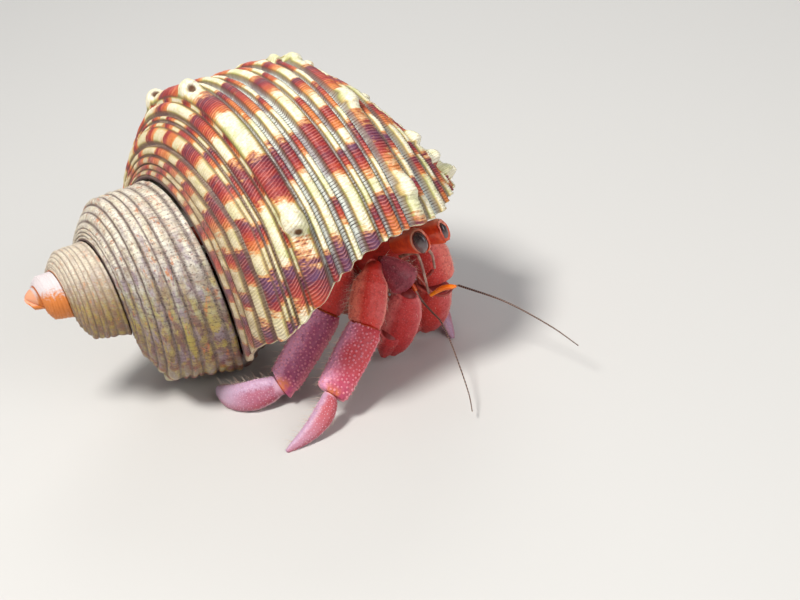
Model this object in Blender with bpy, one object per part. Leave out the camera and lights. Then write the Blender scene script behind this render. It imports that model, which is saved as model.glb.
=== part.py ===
"""A strawberry land hermit crab walking in a turban shell, life size, as a still display model.

The crab faces -Y, its left side is +X, and it stands on the plane Z = 0.
Every length below is in millimetres and every angle in degrees; MM turns them into metres.
"""

import math

import bmesh
import bpy
import numpy as np
from mathutils import Vector

MM = 0.001
GAP = 0.3  # clearance kept between neighbouring pieces
RIGHT, LEFT = -1, 1

# The shell: every whorl is the same outline, turned about the shell's axis and grown.
SHELL_APEX = Vector((-25.55, 10.4, 20.05))
SHELL_HEADING = -27.85  # of the axis from apex to base, anticlockwise from +X
SHELL_TILT = -6.05  # of the axis below the horizontal
WHORL_GROWTH = 1.967  # length ratio of one whorl to the one before
GIRTH_GROWTH = 2.05  # and their width ratio, so that the early whorls are a little slimmer
FULL_SIZE_ANGLE = 101.2  # where on the last whorl the outline has the sizes listed below
# Distance along the axis from the apex, and distance out from it, from the upper suture
# over the shoulder and the base to the foot of the columella.
WHORL_OUTLINE = (
    (24.7, 14.75), (25.5, 18.8), (28.5, 24.4), (32.0, 27.6), (36.5, 28.7), (42.0, 29.1), (48.6, 29.8),
    (54.5, 26.2), (59.0, 20.8), (62.3, 15.3), (64.0, 10.0), (63.0, 5.5), (60.0, 2.0), (57.0, 0.0),
)
SUTURE_POINT = 6  # the outline point that the next whorl is joined along
TURN_STEPS = 36
TIP_SET_BACK = 1.3  # of the blunt tip from the apex that the whorls run to
WHORLS = 4.0
LIP_END = 132.0  # angle where the lip meets the suture
LIP_FRONT = 58.8  # angle that most of the lip reaches
LIP_SWEEP = 3.2  # outline points over which the lip sweeps from one to the other
LIP_NOTCH, LIP_NOTCH_POINT, LIP_NOTCH_WIDTH = 3.5, 1.2, 0.9  # the lip is drawn back a little near the suture
LIP_SPAN = 180.0  # how far back the lip's slant is felt
WHORL_MIDDLE = (46.0, 16.5)  # the middle of the whorl outline, which the cavity shrinks towards
COLUMELLA_START = 10.0  # outline point where the lip turns in to the columella
COLUMELLA_SWEEP = 60.0
# The main ribs that run along the whorls: outline point, height and half width. The keel is the tallest.
RIBS = ((2.0, 0.3, 0.25), (2.85, 0.3, 0.22), (3.5, 0.65, 0.28), (4.4, 0.3, 0.25), (5.15, 0.3, 0.25),
        (6.3, 0.35, 0.3), (7.1, 0.35, 0.3), (7.95, 0.35, 0.3))
RIB_FLOOR, RIB_FLOOR_POINT, RIB_FLOOR_WIDTH = -0.25, 3.3, 1.9  # of the wall between them
RIB_SLOPE = (0.0, 0.008, 0.0125, 0.0104, 0.0075, 0.006, 0.0)  # points per degree that ribs lie higher further back
RIB_SLOPE_START, RIB_SLOPE_REACH = 60.0, 60.0
KNOBS = ((3.5, 0.75, 0.42), (6.3, 0.5, 0.35), (7.95, 0.7, 0.35))  # outline point, height and half width
KNOB_SPACING, KNOB_ANGLE = 30.8, 64.5  # degrees from knob to knob, and where one of each row stands
LIP_THICKNESS = 0.9
CAVITY_END = -100.0
CAVITY_RINGS = 5

# The body: places are (out from the midline, ahead of BODY_Y, above the floor).
MIDLINE_X = 10.0
BODY_Y = 2.0
OUTER_FACE = Vector((-0.62, -0.62, 0.47))  # the way the broad faces of the right legs look


def place(side, out, ahead, height):
    """A point of the body, on its right or left side."""
    return Vector((MIDLINE_X + side * out, BODY_Y - ahead, height))


def material(name, colour, roughness):
    """A plain Principled surface."""
    made = bpy.data.materials.new(name)
    made.use_nodes = True
    shader = made.node_tree.nodes["Principled BSDF"]
    shader.inputs["Base Color"].default_value = (*colour, 1.0)
    shader.inputs["Roughness"].default_value = roughness
    shader.inputs["Metallic"].default_value = 0.0
    return made


def add_object(name, points, faces, surface):
    """A closed mesh object from points in millimetres."""
    mesh = bpy.data.meshes.new(name)
    mesh.from_pydata([tuple(MM * value for value in point) for point in points], [], faces)
    shape = bmesh.new()
    shape.from_mesh(mesh)
    bmesh.ops.remove_doubles(shape, verts=shape.verts, dist=0.00001)
    bmesh.ops.recalc_face_normals(shape, faces=shape.faces)
    shape.to_mesh(mesh)
    shape.free()
    mesh.shade_smooth()
    mesh.materials.append(surface)
    made = bpy.data.objects.new(name, mesh)
    PART.objects.link(made)
    return made


def loft(name, rings, surface):
    """A closed tube through rings of equal point count, with a flat face on each end."""
    count = len(rings[0])
    faces = [tuple(range(count)), tuple(range((len(rings) - 1) * count, len(rings) * count))]
    for ring in range(len(rings) - 1):
        for k in range(count):
            here, beside = ring * count + k, ring * count + (k + 1) % count
            faces.append((here, beside, beside + count, here + count))
    return add_object(name, [point for ring in rings for point in ring], faces, surface)


def oval(centre, across, along, sides, squareness=1.0):
    """A ring of points: an ellipse, or a squarer oval when squareness is under 1."""
    ring = []
    for k in range(sides):
        turn = 2 * math.pi * (k + 0.5) / sides
        x = math.copysign(abs(math.cos(turn)) ** squareness, math.cos(turn))
        y = math.copysign(abs(math.sin(turn)) ** squareness, math.sin(turn))
        ring.append(centre + across * x + along * y)
    return ring


# ---------------------------------------------------------------- shell

def shell_axes():
    """The shell's axis, and the two directions that its angles are measured from and towards."""
    heading, tilt = math.radians(SHELL_HEADING), math.radians(SHELL_TILT)
    axis = Vector((math.cos(heading) * math.cos(tilt), math.sin(heading) * math.cos(tilt), math.sin(tilt)))
    top = (Vector((0, 0, 1)) - axis.z * axis).normalized()
    return axis, top, axis.cross(top)


def outline_at(knot):
    """The whorl outline between its listed points, as a Catmull-Rom curve."""
    last = len(WHORL_OUTLINE) - 1
    k = min(int(knot), last - 1)
    t = knot - k
    p = [Vector(WHORL_OUTLINE[min(max(k + i, 0), last)]) for i in (-1, 0, 1, 2)]
    if k == 0:
        p[0] = 2 * p[1] - p[2]
    if k == last - 1:
        p[3] = 2 * p[2] - p[1]
    return 0.5 * (
        2 * p[1] + (p[2] - p[0]) * t + (2 * p[0] - 5 * p[1] + 4 * p[2] - p[3]) * t * t
        + (3 * p[1] - p[0] - 3 * p[2] + p[3]) * t ** 3
    )


AXIS, TOP, FRONT = shell_axes()
OUTER_ROWS = [0, 0.6, 1.3, 2.0, 2.42, 2.85, 3.15, 3.5, 3.85, 4.4, 4.8, 5.15, 5.55, SUTURE_POINT]
BASE_ROWS = [6.3, 6.7, 7.1, 7.5, 7.95, 8.4, 9, 10, 11, 12, 13]
LAST_KNOT = len(WHORL_OUTLINE) - 1


def outward(angle):
    """The direction straight out from the axis at an angle."""
    turn = math.radians(angle)
    return math.cos(turn) * TOP + math.sin(turn) * FRONT


def sizes(angle):
    """How long and how wide the whorl outline is at an angle, against the listed one."""
    turns = (angle - FULL_SIZE_ANGLE) / 360
    return WHORL_GROWTH ** turns, GIRTH_GROWTH ** turns


def shell_point(angle, knot, inward=0.0):
    """A point of the shell: inward moves it from the wall towards the middle of the whorl."""
    length, girth = sizes(angle)
    spot = outline_at(knot)
    spot = Vector((spot.x * length, spot.y * girth))
    if inward:
        to_middle = Vector((WHORL_MIDDLE[0] * length, WHORL_MIDDLE[1] * girth)) - spot
        spot += to_middle.normalized() * min(inward, to_middle.length)
    return SHELL_APEX + spot.x * AXIS + spot.y * outward(angle)


def lip_angle(knot):
    """Where the lip's edge lies: swept back near the suture, and again near the columella."""
    base = min(max((knot - COLUMELLA_START) / (LAST_KNOT - COLUMELLA_START), 0), 1)
    sweep = (LIP_END - LIP_FRONT) * math.exp(-knot / LIP_SWEEP)
    sweep -= LIP_NOTCH * math.exp(-((knot - LIP_NOTCH_POINT) / LIP_NOTCH_WIDTH) ** 2)
    return LIP_FRONT + sweep + COLUMELLA_SWEEP * base * base * (3 - 2 * base)


def outer_angle(step_angle, knot):
    """The angle of a grid column at one row: the last half turn is drawn back to the lip."""
    share = max(0.0, 1 + (step_angle - LIP_END) / LIP_SPAN)
    return step_angle + share * (lip_angle(knot) - LIP_END) * min(1.0, knot / 0.5)


def rib_line(angle, knot):
    """Where the rib at an outline point runs at an angle."""
    k = min(int(knot), SUTURE_POINT - 1)
    slope = RIB_SLOPE[k] + (RIB_SLOPE[k + 1] - RIB_SLOPE[k]) * (knot - k) if knot < SUTURE_POINT else 0.0
    back = max(RIB_SLOPE_START - angle, 0.0)
    return knot - slope * RIB_SLOPE_REACH * (1 - math.exp(-back / RIB_SLOPE_REACH))


def relief(angle, knot):
    """Height over the plain wall of the ribs, and of the knobs that stand along three of them."""
    height = RIB_FLOOR * math.exp(-((knot - RIB_FLOOR_POINT) / RIB_FLOOR_WIDTH) ** 2)
    height += sum(rise * math.exp(-((knot - point) / width) ** 2) for point, rise, width in RIBS)
    wave = 0.5 + 0.5 * math.cos(2 * math.pi * (angle - KNOB_ANGLE) / KNOB_SPACING)
    knobs = sum(rise * math.exp(-((knot - point) / width) ** 2) for point, rise, width in KNOBS)
    return (height + knobs * wave ** 2) * min(1.0, knot / 0.6)


def wall_point(angle, knot):
    """The outer wall with its ribs and knobs, resting flat on the floor."""
    point = shell_point(angle, rib_line(angle, knot))
    point += sizes(angle)[1] * relief(angle, knot) * outward(angle)
    point.z = max(point.z, 0.0)
    return point


def cavity_ring(depth, inset):
    """The loop round the shell's hollow at a depth from 0, its mouth, to 1, its end."""
    def at(start):
        return start + depth * (CAVITY_END - start)

    ring = [shell_point(at(outer_angle(LIP_END, knot)), knot, inset) for knot in OUTER_ROWS + BASE_ROWS]
    angle = at(LIP_END)
    for k in range(1, TURN_STEPS):
        length, _ = sizes(angle - 360 * k / TURN_STEPS)
        foot = SHELL_APEX + length * WHORL_OUTLINE[-1][0] * AXIS
        ring.append(foot + inset * outward(angle))
    inner_inset = -inset if depth > 0 else 0.0
    for knot in reversed(BASE_ROWS):
        ring.append(shell_point(at(LIP_END) - 360 - 3, knot, inner_inset))
    return ring


def make_shell(surface):
    columns = int(WHORLS * TURN_STEPS)
    rows = OUTER_ROWS + BASE_ROWS
    suture = len(OUTER_ROWS) - 1
    points, index = [], {}

    def vertex(column, row):
        """Rows run from the suture down; the first row is the suture row one turn earlier."""
        if row == 0 and column >= TURN_STEPS:
            column, row = column - TURN_STEPS, suture
        if (column, row) not in index:
            step_angle = LIP_END - (columns - column) * 360 / TURN_STEPS
            index[column, row] = len(points)
            points.append(wall_point(outer_angle(step_angle, rows[row]), rows[row]))
        return index[column, row]

    faces = []
    for column in range(columns):
        on_last_whorl = column >= columns - TURN_STEPS
        for row in range(len(rows) - 1 if on_last_whorl else suture):
            faces.append((
                vertex(column, row), vertex(column, row + 1),
                vertex(column + 1, row + 1), vertex(column + 1, row),
            ))

    start_loop = [vertex(0, row) for row in range(suture, -1, -1)]
    start_loop += [vertex(column, 0) for column in range(1, TURN_STEPS + 1)]
    tip = len(points)
    points.append(SHELL_APEX + AXIS * TIP_SET_BACK)
    for k, here in enumerate(start_loop):
        beside = start_loop[(k + 1) % len(start_loop)]
        if here != beside:
            faces.append((here, beside, tip))

    mouth = [vertex(columns, row) for row in range(len(rows))]
    mouth += [vertex(column, len(rows) - 1) for column in range(columns - 1, columns - TURN_STEPS, -1)]
    mouth += [vertex(columns - TURN_STEPS, row) for row in range(len(rows) - 1, suture, -1)]
    for ring_number in range(CAVITY_RINGS + 1):
        ring = []
        for point in cavity_ring(ring_number / CAVITY_RINGS, LIP_THICKNESS):
            ring.append(len(points))
            points.append(point)
        for k in range(len(mouth)):
            beside = (k + 1) % len(mouth)
            faces.append((mouth[k], mouth[beside], ring[beside], ring[k]))
        mouth = ring
    end = len(points)
    points.append(sum((points[k] for k in mouth), Vector()) / len(mouth))
    for k in range(len(mouth)):
        faces.append((mouth[k], mouth[(k + 1) % len(mouth)], end))
    return add_object("shell", points, faces, surface)


# ---------------------------------------------------------------- limbs

# Shapes of limb pieces: (part of the length, breadth, thickness, rise) at each ring, as
# shares of the piece's breadth and thickness; rise moves the ring across the piece.
MERUS = ((0, 0.7, 0.7, 0), (0.2, 0.9, 0.9, 0), (0.6, 1.0, 1.0, 0), (1, 0.8, 0.8, 0))
CARPUS = (
    (0, 0.58, 0.6, 0), (0.22, 0.94, 0.9, 0.01), (0.55, 1.02, 1.0, 0.02), (0.86, 0.97, 0.92, 0.02),
    (1, 0.8, 0.7, 0),
)
PROPODUS = (
    (0, 0.82, 0.76, 0), (0.08, 0.97, 0.93, 0), (0.45, 1.0, 1.0, 0), (0.82, 0.95, 0.93, 0),
    (0.94, 0.91, 0.84, 0), (1, 0.78, 0.66, 0),
)
DACTYL = (
    (0, 0.6, 0.65, 0), (0.1, 0.84, 0.9, 0), (0.32, 1.0, 1.0, 0), (0.6, 0.84, 0.85, 0),
    (0.82, 0.58, 0.62, 0), (0.95, 0.36, 0.42, 0), (1, 0.2, 0.28, 0),
)
SIDES = 8
END_TAPER = 0.06  # how fast the clear space at a joint widens along the piece


def joint_plane(line, near, beyond):
    """The normal of the plane that halves the bend at a joint, pointing the way the line runs."""
    return (line + (near - beyond).normalized()).normalized()


def limb_piece(name, joints, number, breadth, thickness, shape, face, surface, bow=None, sides=SIDES):
    """One piece of a limb, between two of its joints, kept clear of its neighbours at both."""
    start, end = joints[number], joints[number + 1]
    length = (end - start).length
    line = (end - start) / length
    has_next = number + 2 < len(joints)
    start_plane = joint_plane(line, start, joints[number - 1]) if number else line
    end_plane = joint_plane(line, joints[number + 2], end) if has_next else line
    flat = (face - face.dot(line) * line).normalized()
    broad = line.cross(flat)
    rings = []
    for part, wide, thick, rise in shape:
        centre = start.lerp(end, part) + broad * rise * breadth
        if bow is not None:
            centre += bow * 4 * part * (1 - part)
        ring = []
        for point in oval(centre, broad * breadth * wide / 2, flat * thickness * thick / 2, sides):
            short = GAP / 2 + END_TAPER * part * length - (point - start).dot(start_plane)
            if part == 0 or short > 0:
                point += line * short / line.dot(start_plane)
            over = GAP / 2 + END_TAPER * (1 - part) * length + (point - end).dot(end_plane)
            if has_next and (part == 1 or over > 0):
                point -= line * over / line.dot(end_plane)
            point.z = max(point.z, 0.0)
            ring.append(point)
        rings.append(ring)
    return loft(name, rings, surface)


# Joints of each walking leg: hip, knee, wrist, ankle and toe.
WALKING_LEGS = {
    "right_leg_2": (
        RIGHT, (4.9, 22.0, 7.5), (4.9, 26.2, 14.9), (9.3, 27.5, 9.3), (18.1, 27.7, 4.2), (26.1, 26.2, 0.15),
    ),
    "right_leg_3": (
        RIGHT, (5.6, 15.5, 7.5), (5.5, 21.8, 15.9), (7.9, 19.3, 9.2), (17.4, 17.9, 2.8), (20.4, 8.5, 1.2),
    ),
    "left_leg_2": (
        LEFT, (5.6, 19.0, 7.5), (8.5, 22.0, 13.3), (12.2, 19.4, 10.8), (8.8, 23.3, 3.1), (4.7, 28.9, 0.15),
    ),
    "left_leg_3": (
        LEFT, (5.6, 15.0, 7.5), (11.0, 13.5, 10.8), (16.0, 10.0, 9.3), (20.0, 5.5, 3.4), (23.0, -2.0, 0.15),
    ),
}
# Breadth and thickness of the leg pieces above the toe, then those of each toe and its bow.
LEG_SIZES = {"merus": (2.7, 2.2), "carpus": (4.6, 2.8), "propodus": (4.8, 2.9)}
LEG_SHAPES = {"merus": MERUS, "carpus": CARPUS, "propodus": PROPODUS}
TOES = {
    "right_leg_2": (2.9, 2.4, Vector((0.5, -0.8, -0.3))),
    "right_leg_3": (4.1, 2.4, Vector((-1.7, -0.4, -0.2))),
    "left_leg_2": (2.6, 2.2, Vector((0.1, 0.2, 0.2))),
    "left_leg_3": (3.3, 2.4, Vector((0.4, 0.2, 0.6))),
}


def make_walking_legs(surfaces):
    for name, (side, *spots) in WALKING_LEGS.items():
        joints = [place(side, *spot) for spot in spots]
        face = Vector((OUTER_FACE.x * -side, OUTER_FACE.y, OUTER_FACE.z))
        for number, (piece, (breadth, thickness)) in enumerate(LEG_SIZES.items()):
            limb_piece(f"{name}_{piece}", joints, number, breadth, thickness, LEG_SHAPES[piece], face,
                       surfaces[piece])
        breadth, thickness, bow = TOES[name]
        limb_piece(f"{name}_dactyl", joints, 3, breadth, thickness, DACTYL, face, surfaces["dactyl"], bow)


# ---------------------------------------------------------------- claws

# The claw arms: the upper arm, the wrist piece, the palm with its fixed finger, and the moving finger.
PLUMP = (
    (0, 0.5, 0.5, 0), (0.12, 0.78, 0.78, 0), (0.4, 1.0, 1.0, 0), (0.72, 0.96, 0.94, 0),
    (0.92, 0.72, 0.7, 0), (1, 0.5, 0.5, 0),
)
PALM = (
    (0, 0.5, 0.5, 0), (0.1, 0.8, 0.8, 0), (0.3, 1.0, 1.0, 0), (0.52, 0.98, 0.94, 0), (0.62, 0.86, 0.8, 0.02),
    (0.66, 0.5, 0.62, -0.2), (0.82, 0.38, 0.46, -0.16), (1, 0.16, 0.2, -0.05),
)
FINGER = ((0, 0.3, 0.42, 0), (0.2, 0.5, 0.62, 0.03), (0.55, 0.42, 0.5, 0.02), (1, 0.15, 0.2, -0.02))
CLAW_SIDES = 10
CLAW_ARMS = {
    "right_claw": (
        RIGHT,
        {
            "merus": ((2.4, 21.9, 5.4), (2.7, 24.9, 12.0), 2.6, 2.3, PLUMP),
            "carpus": ((2.8, 27.65, 15.2), (2.1, 29.65, 12.0), 4.6, 3.3, PLUMP),
            "palm": ((2.4, 29.4, 11.0), (3.2, 24.7, 1.3), 4.9, 3.9, PALM),
            "finger": ((4.35, 25.3, 4.0), (3.9, 23.9, 1.2), 4.8, 3.8, FINGER),
        },
    ),
    "left_claw": (
        LEFT,
        {
            "merus": ((3.0, 21.9, 5.4), (3.6, 24.8, 11.6), 2.9, 2.5, PLUMP),
            "carpus": ((4.1, 27.8, 15.4), (4.5, 28.5, 9.3), 5.2, 4.2, PLUMP),
            "palm": ((4.0, 28.1, 8.6), (3.7, 24.7, 1.1), 5.5, 4.5, PALM),
            "finger": ((2.3, 24.4, 3.2), (2.9, 23.6, 1.0), 5.4, 4.2, FINGER),
        },
    ),
}


def make_claws(surface):
    for name, (side, pieces) in CLAW_ARMS.items():
        for piece, (start, end, breadth, thickness, shape) in pieces.items():
            joints = [place(side, *start), place(side, *end)]
            limb_piece(f"{name}_{piece}", joints, 0, breadth, thickness, shape, OUTER_FACE, surface,
                       sides=CLAW_SIDES)


# ---------------------------------------------------------------- body and head

# Cross-sections from back to front: ahead, half width, bottom, top.
CARAPACE_SECTIONS = (
    (12.6, 2.6, 11.6, 14.6), (14.0, 3.5, 11.1, 15.8), (17.5, 4.0, 11.0, 16.6), (21.0, 3.9, 11.4, 16.7),
    (24.0, 3.0, 12.7, 16.3), (26.0, 1.9, 13.2, 15.6), (26.8, 0.8, 13.7, 15.2),
)
THORAX_SECTIONS = (
    (11.0, 2.6, 6.6, 9.8), (12.5, 3.7, 4.9, 10.5), (16.0, 4.1, 4.3, 10.7), (19.5, 3.7, 4.2, 10.7),
    (21.0, 2.9, 5.0, 10.5),
)
ABDOMEN_REACH = (0.36, 0.5, 0.64, 0.78, 0.9, 0.96)
EYESTALK = (
    (0, 0.45, 0.6, 0), (0.3, 0.58, 0.75, 0), (0.62, 0.85, 0.95, 0), (0.85, 1.0, 1.0, 0),
    (0.97, 0.82, 0.8, 0), (1, 0.5, 0.5, 0),
)
EYESTALK_DEPTH, EYESTALK_WIDTH = 3.5, 1.7
EYESTALKS = {
    "right": (RIGHT, (1.3, 27.4, 16.9), (2.7, 34.6, 20.05)),
    "left": (LEFT, (1.1, 27.4, 16.9), (2.5, 33.7, 18.6)),
}
CORNEA_SIZE = (1.2, 2.5, 3.1)  # across the stalk, along it, and upright
# Where a cornea's middle lies from its stalk's tip: out to the side, back and down.
CORNEA_SPOTS = {"right": (0.85, 0.8, 0.1), "left": (0.45, 1.05, 0.2)}
CORNEA_LEAN = 20.0  # of its top towards the tip


def body_part(name, sections, sides, surface):
    rings = []
    for ahead, half_width, bottom, top in sections:
        centre = place(RIGHT, 0, ahead, (top + bottom) / 2)
        rings.append(oval(centre, Vector((half_width, 0, 0)), Vector((0, 0, (top - bottom) / 2)), sides, 0.8))
    return loft(name, rings, surface)


def make_abdomen(surface):
    rings = []
    for depth in ABDOMEN_REACH:
        rings.append(cavity_ring(depth, LIP_THICKNESS + 1.0)[::2])
    return loft("abdomen", rings, surface)


def ellipsoid(centre, directions, widths):
    """Points and faces of a ball stretched to three widths along three directions."""
    shape = bmesh.new()
    bmesh.ops.create_uvsphere(shape, u_segments=14, v_segments=9, radius=0.5)
    points = []
    for vertex in shape.verts:
        stretched = [vertex.co[k] * widths[k] * directions[k] for k in range(3)]
        points.append(centre + stretched[0] + stretched[1] + stretched[2])
    faces = [tuple(vertex.index for vertex in face.verts) for face in shape.faces]
    shape.free()
    return points, faces


def make_eyes(stalk_surface, cornea_surface):
    """Each cornea sits in a socket near its stalk's tip, on the outer side."""
    for name, (side, base, tip) in EYESTALKS.items():
        joints = [place(side, *base), place(side, *tip)]
        across = Vector((side, 0, 0))
        stalk = limb_piece(f"{name}_eyestalk", joints, 0, EYESTALK_DEPTH, EYESTALK_WIDTH, EYESTALK, across,
                           stalk_surface)
        line = (joints[1] - joints[0]).normalized()
        upright = line.cross(across) * side
        out, back, down = CORNEA_SPOTS[name]
        centre = joints[1] + across * out - line * back - upright * down
        lean = math.radians(CORNEA_LEAN)
        along = line * math.cos(lean) - upright * math.sin(lean)
        directions = (across, along, upright * math.cos(lean) + line * math.sin(lean))
        add_object(f"{name}_eye", *ellipsoid(centre, directions, CORNEA_SIZE), cornea_surface)
        socket_size = [width + 2 * GAP for width in CORNEA_SIZE]
        points, faces = ellipsoid(centre, directions, socket_size)
        socket = add_object(f"{name}_socket_cutter", points, faces, cornea_surface)
        PART.objects.unlink(socket)
        CUTTERS.objects.link(socket)
        socket.hide_render = True
        socket.display_type = "WIRE"
        cut = stalk.modifiers.new("socket", "BOOLEAN")
        cut.operation = "DIFFERENCE"
        cut.solver = "EXACT"
        cut.object = socket


def smooth_path(points, per_span):
    """Points along a Catmull-Rom curve."""
    ends = [2 * points[0] - points[1], *points, 2 * points[-1] - points[-2]]
    path = []
    for k in range(len(points) - 1):
        a, b, c, d = ends[k:k + 4]
        for step in range(per_span):
            t = step / per_span
            bend = (2 * a - 5 * b + 4 * c - d) * t * t + (3 * b - a - 3 * c + d) * t ** 3
            path.append(0.5 * (2 * b + (c - a) * t + bend))
    return path + [points[-1]]


def feeler(name, side, spots, thickness, end_thickness, surface, per_span=3):
    """A round, tapering tube along a smooth path."""
    path = smooth_path([place(side, *spot) for spot in spots], per_span)
    curve = bpy.data.curves.new(name, "CURVE")
    curve.dimensions = "3D"
    curve.bevel_depth = MM
    curve.bevel_resolution = 1
    curve.use_fill_caps = True
    spline = curve.splines.new("POLY")
    spline.points.add(len(path) - 1)
    for k, point in enumerate(path):
        spline.points[k].co = (*(point * MM), 1.0)
        spline.points[k].radius = (thickness + (end_thickness - thickness) * k / (len(path) - 1)) / 2
    curve.materials.append(surface)
    made = bpy.data.objects.new(name, curve)
    PART.objects.link(made)
    return made


# Side, path, width at the root and at the end, and surface of each feeler and mouth leg.
FEELERS = {
    "right_antennule_stem": (
        RIGHT, ((0.7, 27.6, 15.2), (0.9, 30.4, 16.3), (1.2, 31.6, 15.6), (2.0, 32.7, 11.3)), 0.7, 0.5, "amber",
    ),
    "right_antennule_tip": (
        RIGHT, ((2.0, 33.1, 11.3), (1.9, 35.2, 12.3), (1.7, 37.3, 13.4)), 0.7, 0.5, "orange",
    ),
    "left_antennule_stem": (
        LEFT, ((0.6, 27.6, 15.2), (0.9, 30.4, 16.2), (1.2, 31.5, 15.4), (1.8, 31.0, 12.8)), 0.7, 0.5, "amber",
    ),
    "left_antennule_tip": (
        LEFT, ((1.8, 30.6, 12.4), (1.5, 30.0, 11.7), (1.0, 29.5, 11.0)), 0.7, 0.5, "orange",
    ),
    "right_antenna_stem": (
        RIGHT, ((0.2, 27.2, 13.4), (-0.2, 27.3, 11.6), (-0.3, 28.2, 9.6)), 1.0, 0.7, "orange",
    ),
    "right_antenna_whip": (
        RIGHT,
        (
            (-0.2, 28.6, 9.0), (-0.1, 29.6, 7.9), (0.3, 31.0, 7.2), (0.8, 32.6, 6.5), (2.2, 34.8, 5.3),
            (4.7, 37.9, 4.1), (8.5, 42.3, 2.4), (10.6, 44.3, 1.3),
        ),
        0.55, 0.5, "brown",
    ),
    "left_antenna_stem": (
        LEFT, ((0.8, 27.4, 13.6), (1.3, 29.8, 9.4), (2.4, 31.2, 8.4), (4.4, 31.4, 8.7)), 0.9, 0.6, "orange",
    ),
    "left_antenna_whip": (
        LEFT, ((4.7, 31.9, 8.8), (4.0, 40.0, 8.4), (3.2, 47.5, 6.8), (2.6, 52.1, 5.2)), 0.55, 0.5, "brown",
    ),
    "right_mouth_leg": (RIGHT, ((0.75, 21.6, 8.6), (0.8, 24.0, 8.0), (0.75, 25.0, 5.2)), 1.1, 0.8, "orange"),
    "left_mouth_leg": (LEFT, ((0.75, 21.6, 8.6), (0.8, 24.0, 8.0), (0.75, 25.0, 5.2)), 1.1, 0.8, "orange"),
}


def centre_on_origin(pieces, helpers):
    """Moves everything so that the model's box stands on Z = 0 with its middle over the origin."""
    bpy.context.view_layer.update()
    graph = bpy.context.evaluated_depsgraph_get()
    points = []
    for piece in pieces:
        evaluated = piece.evaluated_get(graph)
        points += [tuple(evaluated.matrix_world @ vertex.co) for vertex in evaluated.to_mesh().vertices]
        evaluated.to_mesh_clear()
    low, high = np.min(points, axis=0), np.max(points, axis=0)
    for piece in [*pieces, *helpers]:
        piece.location -= Vector(((low[0] + high[0]) / 2, (low[1] + high[1]) / 2, low[2]))


# ---------------------------------------------------------------- assembly

for old in list(bpy.data.objects):
    bpy.data.objects.remove(old, do_unlink=True)
PART = bpy.data.collections.new("hermit_crab")
CUTTERS = bpy.data.collections.new("cutters")
for collection in (PART, CUTTERS):
    bpy.context.scene.collection.children.link(collection)

SHELL_SURFACE = material("shell", (0.72, 0.62, 0.42), 0.45)
RED = material("red_armour", (0.62, 0.12, 0.09), 0.5)
PINK = material("pink_armour", (0.62, 0.27, 0.33), 0.5)
FLESH = material("flesh", (0.66, 0.35, 0.26), 0.5)
FEELER_SURFACES = {
    "orange": material("orange_armour", (0.80, 0.24, 0.05), 0.4),
    "amber": material("amber_armour", (0.62, 0.42, 0.30), 0.4),
    "brown": material("brown_feeler", (0.16, 0.09, 0.06), 0.5),
}
CORNEA = material("cornea", (0.05, 0.04, 0.04), 0.15)

make_shell(SHELL_SURFACE)
make_abdomen(FLESH)
body_part("carapace", CARAPACE_SECTIONS, 12, RED)
body_part("thorax", THORAX_SECTIONS, 12, FLESH)
make_walking_legs({"merus": RED, "carpus": RED, "propodus": PINK, "dactyl": PINK})
make_claws(RED)
make_eyes(FEELER_SURFACES["orange"], CORNEA)
for name, (side, spots, thickness, end_thickness, colour) in FEELERS.items():
    feeler(name, side, spots, thickness, end_thickness, FEELER_SURFACES[colour])
centre_on_origin(list(PART.objects), list(CUTTERS.objects))
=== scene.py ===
"""The looks of the hermit crab: its patterned turban shell, armour, bristles, eyes and feelers.

Lengths are in millimetres and angles in degrees until a mesh is made, where MM turns them into metres.
"""

import math

import bpy
import numpy as np
from mathutils import Matrix, Vector


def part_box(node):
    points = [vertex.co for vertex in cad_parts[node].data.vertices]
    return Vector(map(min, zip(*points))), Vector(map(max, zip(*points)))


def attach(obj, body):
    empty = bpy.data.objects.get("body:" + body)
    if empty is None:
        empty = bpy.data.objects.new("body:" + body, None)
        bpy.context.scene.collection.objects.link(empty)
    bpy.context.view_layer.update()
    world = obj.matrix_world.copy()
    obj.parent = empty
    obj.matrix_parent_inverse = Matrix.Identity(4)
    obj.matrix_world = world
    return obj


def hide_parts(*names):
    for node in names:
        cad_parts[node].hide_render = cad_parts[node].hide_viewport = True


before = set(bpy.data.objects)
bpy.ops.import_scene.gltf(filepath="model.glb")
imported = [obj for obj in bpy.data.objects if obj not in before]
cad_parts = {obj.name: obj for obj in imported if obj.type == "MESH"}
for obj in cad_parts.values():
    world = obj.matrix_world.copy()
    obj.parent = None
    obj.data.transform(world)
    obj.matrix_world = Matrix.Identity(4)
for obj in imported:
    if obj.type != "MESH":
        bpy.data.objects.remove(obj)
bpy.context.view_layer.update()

MM = 0.001
RIGHT, LEFT = -1, 1
CHANCE = np.random.default_rng(7)
MIDLINE_X, BODY_Y = 10.0, 2.0  # of the body, before the model is centred
CARAPACE_REACH = (12.6, 26.8)  # how far ahead of BODY_Y the carapace lies


def centring():
    """How far the model was moved to stand over the origin, read from where the carapace is."""
    low, high = (np.array(corner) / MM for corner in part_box("carapace"))
    middle = (low + high) / 2
    return np.array((middle[0] - MIDLINE_X, middle[1] - BODY_Y + sum(CARAPACE_REACH) / 2, 0.0))


SHIFT = centring()


def unit(vectors):
    """The same vectors at length 1."""
    vectors = np.asarray(vectors, float)
    return vectors / np.maximum(np.linalg.norm(vectors, axis=-1, keepdims=True), 1e-12)


def smooth(values, low, high):
    """0 below low, 1 above high, and an S curve between."""
    share = np.clip((np.asarray(values, float) - low) / (high - low), 0, 1)
    return share * share * (3 - 2 * share)


def bell(values, width):
    return np.exp(-(values / width) ** 2)


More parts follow.
